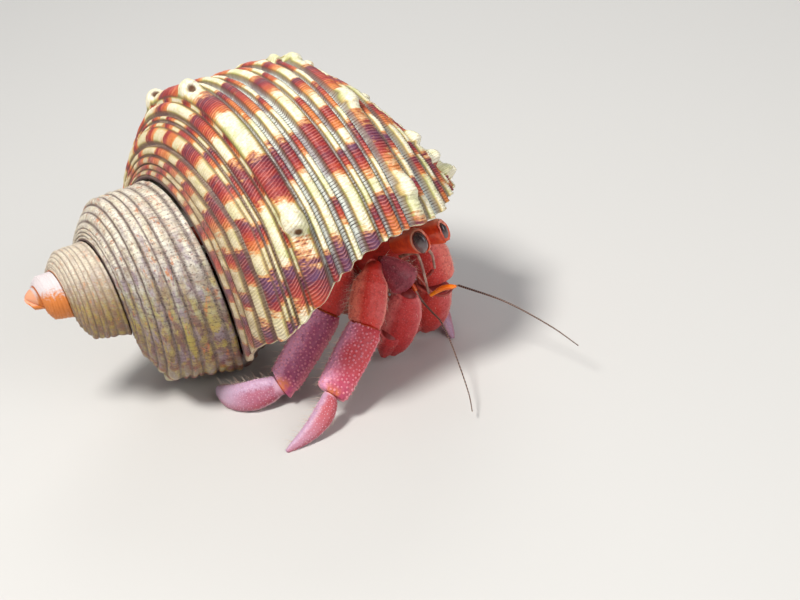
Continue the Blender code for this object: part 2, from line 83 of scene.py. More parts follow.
def waves(sides, squareness=1.0, start=0.0):
    """Cosines and sines of evenly spaced turns, drawn towards a square by a squareness under 1."""
    turns = 2 * np.pi * np.arange(sides) / sides + start
    return [np.copysign(np.abs(wave) ** squareness, wave) for wave in (np.cos(turns), np.sin(turns))]


def turned(first, second, degrees):
    """Two axes turned in their own plane, the first towards the second."""
    turn = math.radians(degrees)
    ahead, aside = math.cos(turn), math.sin(turn)
    return first * ahead + second * aside, second * ahead - first * aside


def spline(points, spots):
    """Points of a Catmull-Rom curve at spots counted in its points; each point may be a whole ring."""
    points, spots = np.asarray(points, float), np.asarray(spots, float)
    ends = np.concatenate([[2 * points[0] - points[1]], points, [2 * points[-1] - points[-2]]])
    k = np.clip(spots.astype(int), 0, len(points) - 2)
    t = (spots - k).reshape(spots.shape + (1,) * (points.ndim - 1))
    a, b, c, d = (ends[k + step] for step in range(4))
    curve = 2 * b + (c - a) * t + (2 * a - 5 * b + 4 * c - d) * t ** 2 + (3 * b - a - 3 * c + d) * t ** 3
    return curve / 2


def along_curve(points, shares):
    """Points along the same curve, at shares from 0 to 1."""
    return spline(points, np.asarray(shares) * (len(points) - 1))


# ---------------------------------------------------------------- meshes

def belts(loops, following):
    """Quads between loops of point numbers and the loops that follow them."""
    corners = (loops, np.roll(loops, -1, axis=-1), np.roll(following, -1, axis=-1), following)
    return np.stack(corners, axis=-1).reshape(-1, 4)


def tube_quads(rings, sides):
    """Quads of a tube, facing out for rings that turn anticlockwise as seen from beyond the last."""
    index = np.arange(rings * sides).reshape(rings, sides)
    return belts(index[:-1], index[1:])


def end_fan(loop, tip, forward):
    """Triangles that close a loop of point numbers onto one point."""
    beside, tips = np.roll(loop, -1), np.full(len(loop), tip)
    return np.stack([loop, beside, tips] if forward else [beside, loop, tips], axis=1)


def repeated(faces, count, step):
    """The same faces for each of many copies that have step points each."""
    faces = np.array(faces)
    return (faces + step * np.arange(count)[:, None, None]).reshape(-1, faces.shape[1])


def hoops(first, second, sides):
    """Circles of radius 1 in the planes of pairs of axes."""
    cosines, sines = waves(sides)
    return first[..., None, :] * cosines[:, None] + second[..., None, :] * sines[:, None]


def ring_normals(grid):
    """Unit normals of a grid of rings, and whether they had to be reversed to face out."""
    around = np.roll(grid, -1, axis=1) - np.roll(grid, 1, axis=1)
    normals = unit(np.cross(around, np.gradient(grid, axis=0)))
    flipped = np.median(np.sum(normals * (grid - grid.mean(axis=1, keepdims=True)), axis=-1)) < 0
    return (-normals if flipped else normals), flipped


class Shape:
    """Points, faces and point values, gathered from several parts into one mesh."""

    def __init__(self):
        self.points, self.faces, self.values, self.count = [], [], {}, 0

    def face(self, corners, slot=0):
        """Adds faces between points that are already there; the slot is that of their material."""
        self.faces.append((corners, slot))

    def add(self, points, *faces, **values):
        """Adds points, on or above the floor, with faces that number them from 0, and returns how many
        points were there before."""
        points, first = np.array(points, float).reshape(-1, 3), self.count
        points[:, 2] = np.maximum(points[:, 2], 0.0)
        for corners in faces:
            self.face(corners + first)
        for key in set(self.values) | set(values):
            column = np.broadcast_to(np.asarray(values.get(key, 0.0), float).reshape(-1), (len(points),))
            self.values.setdefault(key, [np.zeros(first)]).append(column)
        self.points.append(points)
        self.count += len(points)
        return first

    def tube(self, grid, inside_out=False, tips=None, **values):
        """Adds a grid of rings as a tube that closes onto a point at each end, with the values there."""
        rings, sides = grid.shape[:2]
        quads = tube_quads(rings, sides)
        first = self.add(grid, quads[:, ::-1] if inside_out else quads, **values)
        ends = self.add([grid[0].mean(axis=0), grid[-1].mean(axis=0)], **(tips or {}))
        loop = first + np.arange(sides)
        self.face(end_fan(loop, ends, inside_out))
        self.face(end_fan(loop + (rings - 1) * sides, ends + 1, not inside_out))

    def mesh(self, name, *surfaces):
        """The Blender object, smoothly shaded."""
        points = np.concatenate(self.points)
        corners = np.concatenate([faces.reshape(-1) for faces, _ in self.faces])
        sizes = np.concatenate([np.full(len(faces), faces.shape[1]) for faces, _ in self.faces])
        slots = np.concatenate([np.full(len(faces), slot) for faces, slot in self.faces])
        mesh = bpy.data.meshes.new(name)
        mesh.vertices.add(len(points))
        mesh.vertices.foreach_set("co", (points * MM).astype(np.float32).reshape(-1))
        mesh.loops.add(len(corners))
        mesh.loops.foreach_set("vertex_index", corners.astype(np.int32))
        mesh.polygons.add(len(sizes))
        mesh.polygons.foreach_set("loop_start", (np.cumsum(sizes) - sizes).astype(np.int32))
        mesh.update(calc_edges=True)
        mesh.polygons.foreach_set("material_index", slots.astype(np.int32))
        mesh.validate()
        for surface in surfaces:
            mesh.materials.append(surface)
        for key, parts in self.values.items():
            layer = mesh.attributes.new(key, "FLOAT", "POINT")
            layer.data.foreach_set("value", np.concatenate(parts).astype(np.float32))
        mesh.shade_smooth()
        made = bpy.data.objects.new(name, mesh)
        bpy.context.scene.collection.objects.link(made)
        return made


# ---------------------------------------------------------------- materials

class Signal:
    """What a node puts out. Sums, differences and products of signals are Math nodes."""

    def __init__(self, surface, socket):
        self.surface, self.socket = surface, socket

    def __add__(self, other):
        return self.surface.math("ADD", self, other)

    def __sub__(self, other):
        return self.surface.math("SUBTRACT", self, other)

    def __mul__(self, other):
        return self.surface.math("MULTIPLY", self, other)


def tint(colour):
    """A colour given as it looks on a screen, from 0 to 255, as linear light; a signal as it is."""
    if isinstance(colour, Signal):
        return colour
    linear = [(c / 255 + 0.055) ** 2.4 / 1.055 ** 2.4 if c > 10 else c / 3294.6 for c in colour]
    return (*linear, 1.0)


class Surface:
    """A Principled material with its node network."""

    def __init__(self, name, roughness, coat=0.0, coat_roughness=0.1, subsurface=0.0):
        self.material = bpy.data.materials.new(name)
        self.material.use_nodes = True
        self.tree = self.material.node_tree
        self.shader = self.tree.nodes["Principled BSDF"]
        self.put(self.shader, {
            "Roughness": roughness, "Coat Weight": coat, "Coat Roughness": coat_roughness,
            "Subsurface Weight": subsurface, "Subsurface Radius": (1.0, 0.4, 0.25),
            "Subsurface Scale": 0.8 * MM,
        })

    def put(self, node, inputs):
        """Links or sets inputs of a node, given by name or number; None leaves one as it is."""
        for key, value in inputs.items():
            if isinstance(value, Signal):
                self.tree.links.new(value.socket, node.inputs[key])
            elif value is not None:
                node.inputs[key].default_value = value

    def node(self, kind, output, inputs, **settings):
        node = self.tree.nodes.new("ShaderNode" + kind)
        for key, value in settings.items():
            setattr(node, key, value)
        self.put(node, inputs)
        return Signal(self, node.outputs[output])

    def values(self, *names):
        """Point values of the mesh, 0 where it has none of that name."""
        return [self.node("Attribute", "Fac", {}, attribute_name=name) for name in names]

    def place(self, *coordinates):
        return self.node("CombineXYZ", 0, dict(enumerate(coordinates)))

    def position(self):
        return self.node("TexCoord", "Object", {})

    def math(self, operation, *terms):
        return self.node("Math", 0, dict(enumerate(terms)), operation=operation)

    def noise(self, where, scale, detail=3.0, roughness=0.55):
        inputs = {"Vector": where, "Scale": scale, "Detail": detail, "Roughness": roughness}
        return self.node("TexNoise", "Fac", inputs)

    def cells(self, where, scale):
        return self.node("TexVoronoi", "Distance", {"Vector": where, "Scale": scale})

    def spread(self, value, low, high, to_low=0.0, to_high=1.0):
        """An S curve from to_low, where the value is low, to to_high, where it is high."""
        inputs = dict(enumerate((value, low, high, to_low, to_high)))
        return self.node("MapRange", "Result", inputs, interpolation_type="SMOOTHSTEP")

    def mix(self, share, first, second):
        return self.node("Mix", 2, {0: share, 6: tint(first), 7: tint(second)}, data_type="RGBA")

    def ramp(self, share, *stops):
        """A colour that runs through stops, each a spot from 0 to 1 with its colour."""
        made = self.node("ValToRGB", 0, {0: share})
        bar = made.socket.node.color_ramp
        while len(bar.elements) < len(stops):
            bar.elements.new(0.5)
        for element, (spot, colour) in zip(bar.elements, stops):
            element.position = spot
            element.color = tint(colour)
        return made

    def coats(self, colour, *coats):
        """A colour under coats, each the share that it covers and its colour."""
        for share, coat in coats:
            colour = self.mix(share, colour, coat)
        return colour

    def bump(self, height, strength, distance, under=None):
        inputs = {"Height": height, "Strength": strength, "Distance": distance * MM, "Normal": under}
        return self.node("Bump", "Normal", inputs)

    def finish(self, colour, normal=None, roughness=None):
        self.put(self.shader, {"Base Color": colour, "Normal": normal, "Roughness": roughness})
        return self.material


def dress(piece, node_names):
    """Ties a piece to the body and to the solids that it stands for."""
    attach(piece, "root")
    if node_names:
        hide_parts(*node_names)


# ---------------------------------------------------------------- shell form

SHELL_APEX = np.array((-25.55, 10.4, 20.05)) + SHIFT
SHELL_HEADING, SHELL_TILT = -27.85, -6.05
WHORL_GROWTH, GIRTH_GROWTH, FULL_SIZE_ANGLE = 1.967, 2.05, 101.2
WHORL_OUTLINE = np.array((
    (24.7, 14.75), (25.5, 18.8), (28.5, 24.4), (32.0, 27.6), (36.5, 28.7), (42.0, 29.1), (48.6, 29.8),
    (54.5, 26.2), (59.0, 20.8), (62.3, 15.3), (64.0, 10.0), (63.0, 5.5), (60.0, 2.0), (57.0, 0.0),
))
WHORL_MIDDLE = np.array((46.0, 16.5))
SUTURE_POINT, LAST_KNOT = 6.0, 13.0
TIP_SET_BACK, TIP_ROUNDING, TIP_RINGS = 1.3, 0.25, (0.25, 0.5, 0.72, 0.88)
WHORLS = 4
LIP_END = 132.0
LIP_FRONT, LIP_SWEEP, LIP_SPAN, LIP_ROOT = 58.8, 3.2, 180.0, 0.5
LIP_NOTCH, LIP_NOTCH_POINT, LIP_NOTCH_WIDTH = 3.5, 1.2, 0.9
# Where the lip reaches further forward or less far: by how much, at which knot, and how widely.
LIP_FLARES = ((2.4, 6.9, 0.75), (-2.6, 9.7, 1.4))
LIP_SCALLOP = 1.1  # how much further forward the lip reaches at each cord
LIP_THICKNESS, LIP_ROUNDING, LIP_RINGS = 0.9, 0.35, (0.2, 0.5, 0.8, 1.0)
COLUMELLA_START, COLUMELLA_SWEEP = 10.0, 60.0
CAVITY_END, CAVITY_TURN, CAVITY_WALL, CAVITY_DEPTHS = -100.0, 3.0, 0.9, np.linspace(0.02, 1, 34)
CAVITY_THICKENING = 0.1  # the depth that its wall is full from
CORD_SLOPE = (0.0, 0.008, 0.0125, 0.0104, 0.0075, 0.006, 0.0)
CORD_SLOPE_START, CORD_SLOPE_REACH = 60.0, 60.0

LAST_COLUMNS, EARLY_COLUMNS = 1080, 450  # of the grid, in one turn of the last whorl and of the others
LAMELLA_COLUMNS = 4  # grid columns from one growth lamella to the next
EARLY_ROWS = 97
UPPER_ROWS_APART, LOWER_ROWS_APART, CLOSEST_ROWS, LAST_ROW_CLEAR = 0.08, 0.12, 0.022, 0.012  # in knots
ROWS_ON_CORD = (-1.5, -1.05, -0.7, -0.35, 0, 0.35, 0.7, 1.05, 1.5)  # in half widths from its middle

# The spiral cords of the last whorl: knot near the lip, half width in knots, height, and the
# length, middle and share of the dark patches along it, in degrees.
CORDS = (
    (0.42, 0.12, 0.2, 15.5, 55, 0.5), (0.78, 0.13, 0.24, 23, 56, 0.5), (1.16, 0.14, 0.34, 17.9, 52, 0.5),
    (1.55, 0.12, 0.36, 23.5, 50, 0.45),
    (2.02, 0.17, 0.6, 18.5, 45, 0.52), (2.28, 0.05, 0.28, 15.5, 48, 0.5), (2.48, 0.05, 0.28, 15.5, 48, 0.5),
    (2.83, 0.16, 0.62, 29.5, 50, 0.5), (3.11, 0.05, 0.28, 15.5, 50, 0.5),
    (3.5, 0.29, 1, 31, 49, 0.5),
    (4.04, 0.075, 0.5, 31.2, 47, 0.54), (4.4, 0.115, 0.66, 31, 46, 0.54), (4.75, 0.065, 0.48, 19.2, 42, 0.5),
    (5.14, 0.125, 0.7, 31, 45, 0.5), (5.4, 0.055, 0.46, 19.4, 49, 0.5), (5.66, 0.09, 0.6, 15.6, 35, 0.6),
    (5.9, 0.055, 0.46, 20, 45.5, 0.45), (6.26, 0.16, 0.75, 31, 47, 0.46), (6.64, 0.08, 0.55, 15, 61, 0.5),
    (7.1, 0.12, 0.62, 21.4, 54, 0.45), (7.5, 0.09, 0.55, 15.5, 47, 0.5), (7.9, 0.13, 0.62, 21, 55, 0.5),
    (8.3, 0.09, 0.5, 15.5, 50, 0.5), (8.68, 0.1, 0.46, 10.4, 48, 0.5), (9.06, 0.1, 0.42, 15.5, 52, 0.5),
    (9.5, 0.11, 0.38, 10.8, 47, 0.5), (9.95, 0.12, 0.3, 15.5, 50, 0.5), (10.45, 0.13, 0.22, 15.5, 50, 0.5),
)
CORD_HEIGHTENING, CORD_WIDENING, CREST_WIDTH, DARK_SWELL = 1.6, 1.4, 0.95, 0.12
CORD_FADE, INTERSPACE_START, INTERSPACE_END = (9.8, 11.5), (0.0, 0.8), (9.5, 11.0)  # in knots
LAMELLA_HEIGHT, INTERSPACE_DEPTH, SUTURE_TUCK = 0.07, 0.8, 0.25
UNPATCHED, PATCH_CONTRAST, PATCH_REACH = -0.6, 1.6, 9.0  # the reach in half widths of a cord
# How patches wander along their cord: share of a patch's length, and change with angle and cord.
PATCH_WANDER = ((0.07, 0.31, 2.1), (0.05, 0.13, 1.3))
# Knots of the cords of the early whorls, and where the grooves beside the first and the last end.
EARLY_CORDS = (0.5, 1.0, 1.5, 1.9, 2.4, 2.75, 3.4, 4.1, 4.5, 5.05, 5.5, 5.95)
EARLY_BOUNDS = (0.05, *EARLY_CORDS, 6.05)
EARLY_KEEL, EARLY_KEEL_RISE, EARLY_CORD_HEIGHT = 3.4, 1.5, 0.7
# Knobs on the cords: the knot of their cord, height, half width, spacing, the angle of one of them,
# and how hollow their ends are.
SCALES = (
    (3.5, 1.45, 0.33, 93, 65, 1), (3.5, 1.45, 0.31, 93, 4, 1), (3.5, 0.35, 0.3, 93, 34, 0),
    (6.26, 0.9, 0.2, 31, 32, 0.15), (5.9, 0.9, 0.14, 124, -1, 0.7), (6.64, 0.95, 0.15, 124, 1, 0.7),
    (7.9, 1.1, 0.2, 31, 42, 0.15), (8.3, 1.5, 0.34, 124, 50, 0), (9.06, 1.8, 0.34, 124, 56, 0),
    (8.68, 0.9, 0.18, 31, 24, 0.3), (9.95, 0.4, 0.2, 31, 50, 0),
)
KNOB_START, KNOB_END = (-7.5, -2.2), (-0.6, 1.9)  # degrees over which a knob rises and falls
CUP_ANGLE, CUP_LENGTH, CUP_WIDTH, CUP_DEPTH = 0.7, 0.9, 0.45, 0.4
WORN_ANGLES = (-250.0, -150.0)  # the whorls before them are worn
LUMPS = ((9, 1.3, 3, 0.05), (3, 4, 5, 0.03))  # degrees, scale over knots, seed and height
FIELD_WAVES, STRIPE_SEED, BREAK_SEED = 14, 11, 9


def shell_axes():
    heading, tilt = math.radians(SHELL_HEADING), math.radians(SHELL_TILT)
    axis = np.array((math.cos(heading) * math.cos(tilt), math.sin(heading) * math.cos(tilt), math.sin(tilt)))
    top = unit(np.array((0, 0, 1)) - axis[2] * axis)
    return axis, top, np.cross(axis, top)


AXIS, TOP, FRONT = shell_axes()


def outward(angles):
    turn = np.radians(angles)[..., None]
    return np.cos(turn) * TOP + np.sin(turn) * FRONT


def shell_points(angles, knots, inward=0.0):
    """Points of the wall at angles and outline knots, moved in towards the middle of the whorl."""
    angles, knots = np.broadcast_arrays(np.asarray(angles, float), np.asarray(knots, float))
    turns = (angles - FULL_SIZE_ANGLE) / 360
    growth = np.stack([WHORL_GROWTH ** turns, GIRTH_GROWTH ** turns], axis=-1)
    spots = spline(WHORL_OUTLINE, knots) * growth
    if inward:
        to_middle = WHORL_MIDDLE * growth - spots
        far = np.linalg.norm(to_middle, axis=-1, keepdims=True)
        spots = spots + to_middle / far * np.minimum(inward, far)
    return SHELL_APEX + spots[..., :1] * AXIS + spots[..., 1:] * outward(angles)


def cord_line(angles, knots):
    """The outline knot that a cord's line runs at: nearer the suture further back."""
    slope = np.interp(knots, np.arange(len(CORD_SLOPE)), CORD_SLOPE)
    back = np.clip(CORD_SLOPE_START - angles, 0, None)
    return knots - slope * CORD_SLOPE_REACH * (1 - np.exp(-back / CORD_SLOPE_REACH))


def lip_angle(knots):
    """Where the lip's edge lies: swept back near the suture, and again near the columella."""
    sweep = (LIP_END - LIP_FRONT) * np.exp(-knots / LIP_SWEEP)
    sweep = sweep - LIP_NOTCH * bell(knots - LIP_NOTCH_POINT, LIP_NOTCH_WIDTH)
    for reach, middle, width in LIP_FLARES:
        sweep = sweep + reach * bell(knots - middle, width)
    scallops = [rise * bell(knots - knot, half_width) for knot, half_width, rise, *_ in CORDS]
    base = COLUMELLA_SWEEP * smooth(knots, COLUMELLA_START, LAST_KNOT)
    return LIP_FRONT + sweep + base + LIP_SCALLOP * np.max(scallops, axis=0)


def outer_angle(step_angles, knots):
    """The last half turn of the wall is drawn back to the lip."""
    share = np.maximum(0.0, 1 + (step_angles - LIP_END) / LIP_SPAN)
    return step_angles + share * (lip_angle(knots) - LIP_END) * np.minimum(1.0, knots / LIP_ROOT)


def cord_rows(low, high, widest):
    """Knots of the grid rows: close on the cords and at their sides, never wider apart than given."""
    spots = {knot + share * half_width for knot, half_width, *_ in CORDS for share in ROWS_ON_CORD}
    rows = [low]
    for spot in sorted(spot for spot in spots if low < spot < high - LAST_ROW_CLEAR):
        if spot - rows[-1] >= CLOSEST_ROWS:
            steps = math.ceil((spot - rows[-1]) / widest)
            rows += list(np.linspace(rows[-1], spot, steps + 1)[1:])
    return np.array(rows + [high])


def patches(angles, knots):
    """Whether the nearest cord is dark at each place, 0 to 1, and how far through its patch that is."""
    dark, sweep = np.full(angles.shape, UNPATCHED), np.zeros(angles.shape)
    best = np.full(angles.shape, PATCH_REACH)
    for number, (knot, half_width, _, length, middle, share) in enumerate(CORDS):
        away = np.abs(knots - knot) / half_width
        wander = sum(reach * np.sin(angles * rate + phase * number) for reach, rate, phase in PATCH_WANDER)
        turn = 2 * np.pi * ((angles - middle) / length + wander)
        nearer = away < best
        dark = np.where(nearer, np.cos(turn) + PATCH_CONTRAST * (share - 0.5), dark)
        sweep = np.where(nearer, np.sin(turn), sweep)
        best = np.minimum(best, away)
    return dark, sweep


def scale_shape(angles, knots):
    """Height of the hollow scales, knobs that each end at a cupped edge, and where their cups are."""
    height, cups = np.zeros(angles.shape), np.zeros(angles.shape)
    for knot, rise, half_width, spacing, angle, hollow in SCALES:
        away = (knots - knot) / half_width
        along = (angles - angle) / spacing
        along = (along - np.round(along)) * spacing
        across = np.exp(-np.abs(away / CREST_WIDTH) ** 3)
        knob = smooth(along, *KNOB_START) * (1 - smooth(along, *KNOB_END)) * across
        cup = hollow * bell(away, CUP_WIDTH) * bell(along - CUP_ANGLE, CUP_LENGTH)
        height += rise * (knob - CUP_DEPTH * cup)
        cups = np.maximum(cups, cup)
    return height, cups


def shell_relief(angles, knots, lamella, dark):
    """Height of the sculpture over the plain wall, how far each place is a crest, and the scales."""
    height, crest = np.zeros(angles.shape), np.zeros(angles.shape)
    for knot, half_width, rise, *_ in CORDS:
        away = np.abs(knots - knot) / half_width
        profile = np.sqrt(np.clip(1 - (away / CORD_WIDENING) ** 2, 0, 1))
        height = np.maximum(height, rise * CORD_HEIGHTENING * profile)
        crest = np.maximum(crest, 1 / (1 + (away / CREST_WIDTH) ** 6))
    scales, cups = scale_shape(angles, knots)
    height = height * (1 + DARK_SWELL * smooth(-dark, 0, 1)) + scales + lamella * LAMELLA_HEIGHT * (1 + crest)
    interspace = smooth(knots, *INTERSPACE_START) * (1 - smooth(knots, *INTERSPACE_END))
    height = height * (1 - smooth(knots, *CORD_FADE)) - INTERSPACE_DEPTH * interspace
    return height, np.maximum(crest, smooth(scales, 0.2, 0.6)), scales, cups


def early_relief(angles, knots):
    """The same for the early whorls: broad rounded cords, worn smooth, with narrow grooves."""
    height, crest = np.zeros(angles.shape), np.zeros(angles.shape)
    for k, knot in enumerate(EARLY_CORDS):
        low, high = EARLY_BOUNDS[k], EARLY_BOUNDS[k + 2]
        away = 2 * np.abs(knots - knot) / np.where(knots < knot, knot - low, high - knot)
        rise = EARLY_CORD_HEIGHT * (EARLY_KEEL_RISE if knot == EARLY_KEEL else 0.8 + 0.25 * math.sin(2.4 * k))
        height = np.where(away < 1, rise * (1 - away ** 2.4), height)
        crest = np.where(away < 1, 1 - away ** 3.6, crest)
    return (height - EARLY_CORD_HEIGHT) * smooth(knots, 0.0, 0.5), crest


def wander_noise(u, v, seed):
    """A smooth random field over two coordinates, about -1 to 1."""
    chance = np.random.default_rng(seed)
    total = np.zeros(np.broadcast(u, v).shape)
    for _ in range(FIELD_WAVES):
        turn, reach, phase = chance.uniform(0, np.pi), chance.uniform(0.4, 1.6), chance.uniform(0, 2 * np.pi)
        total += np.cos(reach * (u * np.cos(turn) + v * np.sin(turn)) * 2 * np.pi + phase)
    return total / math.sqrt(FIELD_WAVES)


def whorl_sheet(shape, steps, rows, with_lip):
    """Adds the wall over a run of grid columns. Returns its plain and sculpted points, and their numbers."""
    knots = np.broadcast_to(rows[None, :], (len(steps), len(rows)))
    angles = outer_angle(steps[:, None], knots) if with_lip else steps[:, None] + 0 * knots
    plain = shell_points(angles, cord_line(angles, knots))
    normals = unit(np.cross(np.gradient(plain, axis=0), np.gradient(plain, axis=1)))
    normals = normals * np.sign(np.median(np.sum(normals * outward(angles), axis=-1)))
    worn = 1 - smooth(angles, *WORN_ANGLES)
    size = GIRTH_GROWTH ** ((angles - FULL_SIZE_ANGLE) / 360)
    number = np.arange(len(steps)) // LAMELLA_COLUMNS
    strengths = np.random.default_rng(STRIPE_SEED).uniform(0.45, 1.0, number[-1] + 1)
    stripe = strengths[number][:, None] + 0 * knots
    phase = np.arange(len(steps))[:, None] % LAMELLA_COLUMNS
    broken = stripe * np.clip(0.85 + 0.3 * wander_noise(angles / 5, knots * 2.5, BREAK_SEED), 0.5, 1)
    lamella, tick = np.where(phase == 0, broken, 0.0), np.where(phase == LAMELLA_COLUMNS / 2, broken, 0.0)
    dark, sweep = patches(angles, knots)
    height, crest, scales, cups = shell_relief(angles, knots, lamella, dark)
    old_height, old_crest = early_relief(angles, knots)
    height = height + (old_height - height) * worn
    lumps = sum(rise * wander_noise(angles / degrees, knots * scale, seed)
                for degrees, scale, seed, rise in LUMPS)
    height = (height + lumps * (0.4 + worn)) * size
    height = np.where(knots < CLOSEST_ROWS, -SUTURE_TUCK * size, height)
    points = plain + normals * height[..., None]
    first = shape.add(points, angle=angles, knot=knots, crest=crest + (old_crest - crest) * worn, dark=dark,
                      sweep=sweep, scale=scales, worn=worn, size=size, lamella=lamella, tick=tick,
                      upside=outward(angles)[..., 2], cup=cups, stripe=stripe)
    index = first + np.arange(knots.size).reshape(knots.shape)
    corners = (index[:-1, :-1], index[:-1, 1:], index[1:, 1:], index[1:, :-1])
    shape.face(np.stack(corners, axis=-1).reshape(-1, 4))
    return plain, points, index


def close_tip(shape, edge, loop, values):
    """Rings that close the first column of the early whorls onto the shell's blunt tip."""
    tip = SHELL_APEX + AXIS * TIP_SET_BACK
    for share in TIP_RINGS:
        points = edge * (1 - share) + tip * share - AXIS * TIP_ROUNDING * math.sin(math.pi * share)
        following = shape.add(points, **values) + np.arange(len(loop))
        shape.face(belts(loop, following))
        loop = following
    shape.face(end_fan(loop, shape.add(tip, **values), True))


def hollow_ring(depth, inset, knots, base, turns_back, ahead=0.0):
    """A ring round the hollow, from 0 deep at the lip to 1 at its end, and inset from the wall: along
    the wall of its own whorl, the columella, and the wall of the whorl before."""
    lip = outer_angle(np.full(len(knots), LIP_END), knots)
    wall = lip + depth * (CAVITY_END - lip) + ahead
    turn = LIP_END + depth * (CAVITY_END - LIP_END)
    length = WHORL_OUTLINE[-1][0] * WHORL_GROWTH ** ((turn - 360 * turns_back - FULL_SIZE_ANGLE) / 360)
    foot = SHELL_APEX + length[:, None] * AXIS + inset * outward(np.full(len(length), turn))
    outer = shell_points(wall, cord_line(wall, knots), inset)
    before, outward_by = (turn - 360 - CAVITY_TURN, inset) if depth > 0 else (turn - 360, 0.0)
    return np.concatenate([outer, foot, shell_points(before, base, -outward_by)])


def make_mouth(shape, knots, suture_row, plain, points, index):
    """The lip, the foot of the columella and the lined hollow that runs in behind them."""
    columns = np.arange(LAST_COLUMNS - 1, 0, -1)
    base_rows = np.arange(len(knots) - 1, suture_row, -1)

    def round_mouth(grid):
        """The lip, the edge along the columella and the wall of the whorl before, as one loop."""
        return np.concatenate([grid[-1], grid[columns, -1], grid[0, base_rows]])

    loop, raised = round_mouth(index), round_mouth(points) - round_mouth(plain)
    edge_knots = np.concatenate([knots, np.full(len(columns), LAST_KNOT), knots[base_rows]])
    rolled = [(0.0, share * LIP_THICKNESS, LIP_ROUNDING * math.sin(math.pi * share)) for share in LIP_RINGS]
    deeper = [(depth, LIP_THICKNESS + CAVITY_WALL * min(1, depth / CAVITY_THICKENING), 0.0)
              for depth in CAVITY_DEPTHS]
    for depth, inset, ahead in rolled + deeper:
        ring = hollow_ring(depth, inset, knots, knots[base_rows], 1 - columns / LAST_COLUMNS, ahead)
        ring = ring + raised * max(0.0, 1 - inset / LIP_THICKNESS)
        start = shape.add(ring, angle=LIP_END, knot=edge_knots, crest=1, dark=UNPATCHED, size=1, stripe=0.6)
        following = start + np.arange(len(loop))
        shape.face(belts(loop, following), int(depth > 0))
        loop = following
    shape.face(end_fan(loop, shape.add(ring.mean(axis=0), size=1.0), True), 1)


def make_shell(*surfaces):
    upper = cord_rows(0.0, SUTURE_POINT, UPPER_ROWS_APART)
    knots = np.concatenate([upper, cord_rows(SUTURE_POINT, LAST_KNOT, LOWER_ROWS_APART)[1:]])
    first_step = LIP_END - 360 * WHORLS
    early_steps = first_step + np.arange((WHORLS - 1) * EARLY_COLUMNS + 2) * 360 / EARLY_COLUMNS
    last_steps = LIP_END - 360 + np.arange(LAST_COLUMNS + 1) * 360 / LAST_COLUMNS
    shape = Shape()
    _, points, index = whorl_sheet(shape, early_steps, np.linspace(0, SUTURE_POINT, EARLY_ROWS), False)
    last = whorl_sheet(shape, last_steps, knots, True)
    edge, loop = (np.concatenate([grid[0, ::-1], grid[1:EARLY_COLUMNS, 0]]) for grid in (points, index))
    close_tip(shape, edge, loop, {"angle": first_step, "knot": 1.0, "crest": 0.5, "worn": 1.0, "size": 0.06,
                                  "upside": 0.3})
    make_mouth(shape, knots, len(upper) - 1, *last)
    return shape.mesh("turban_shell", *surfaces)


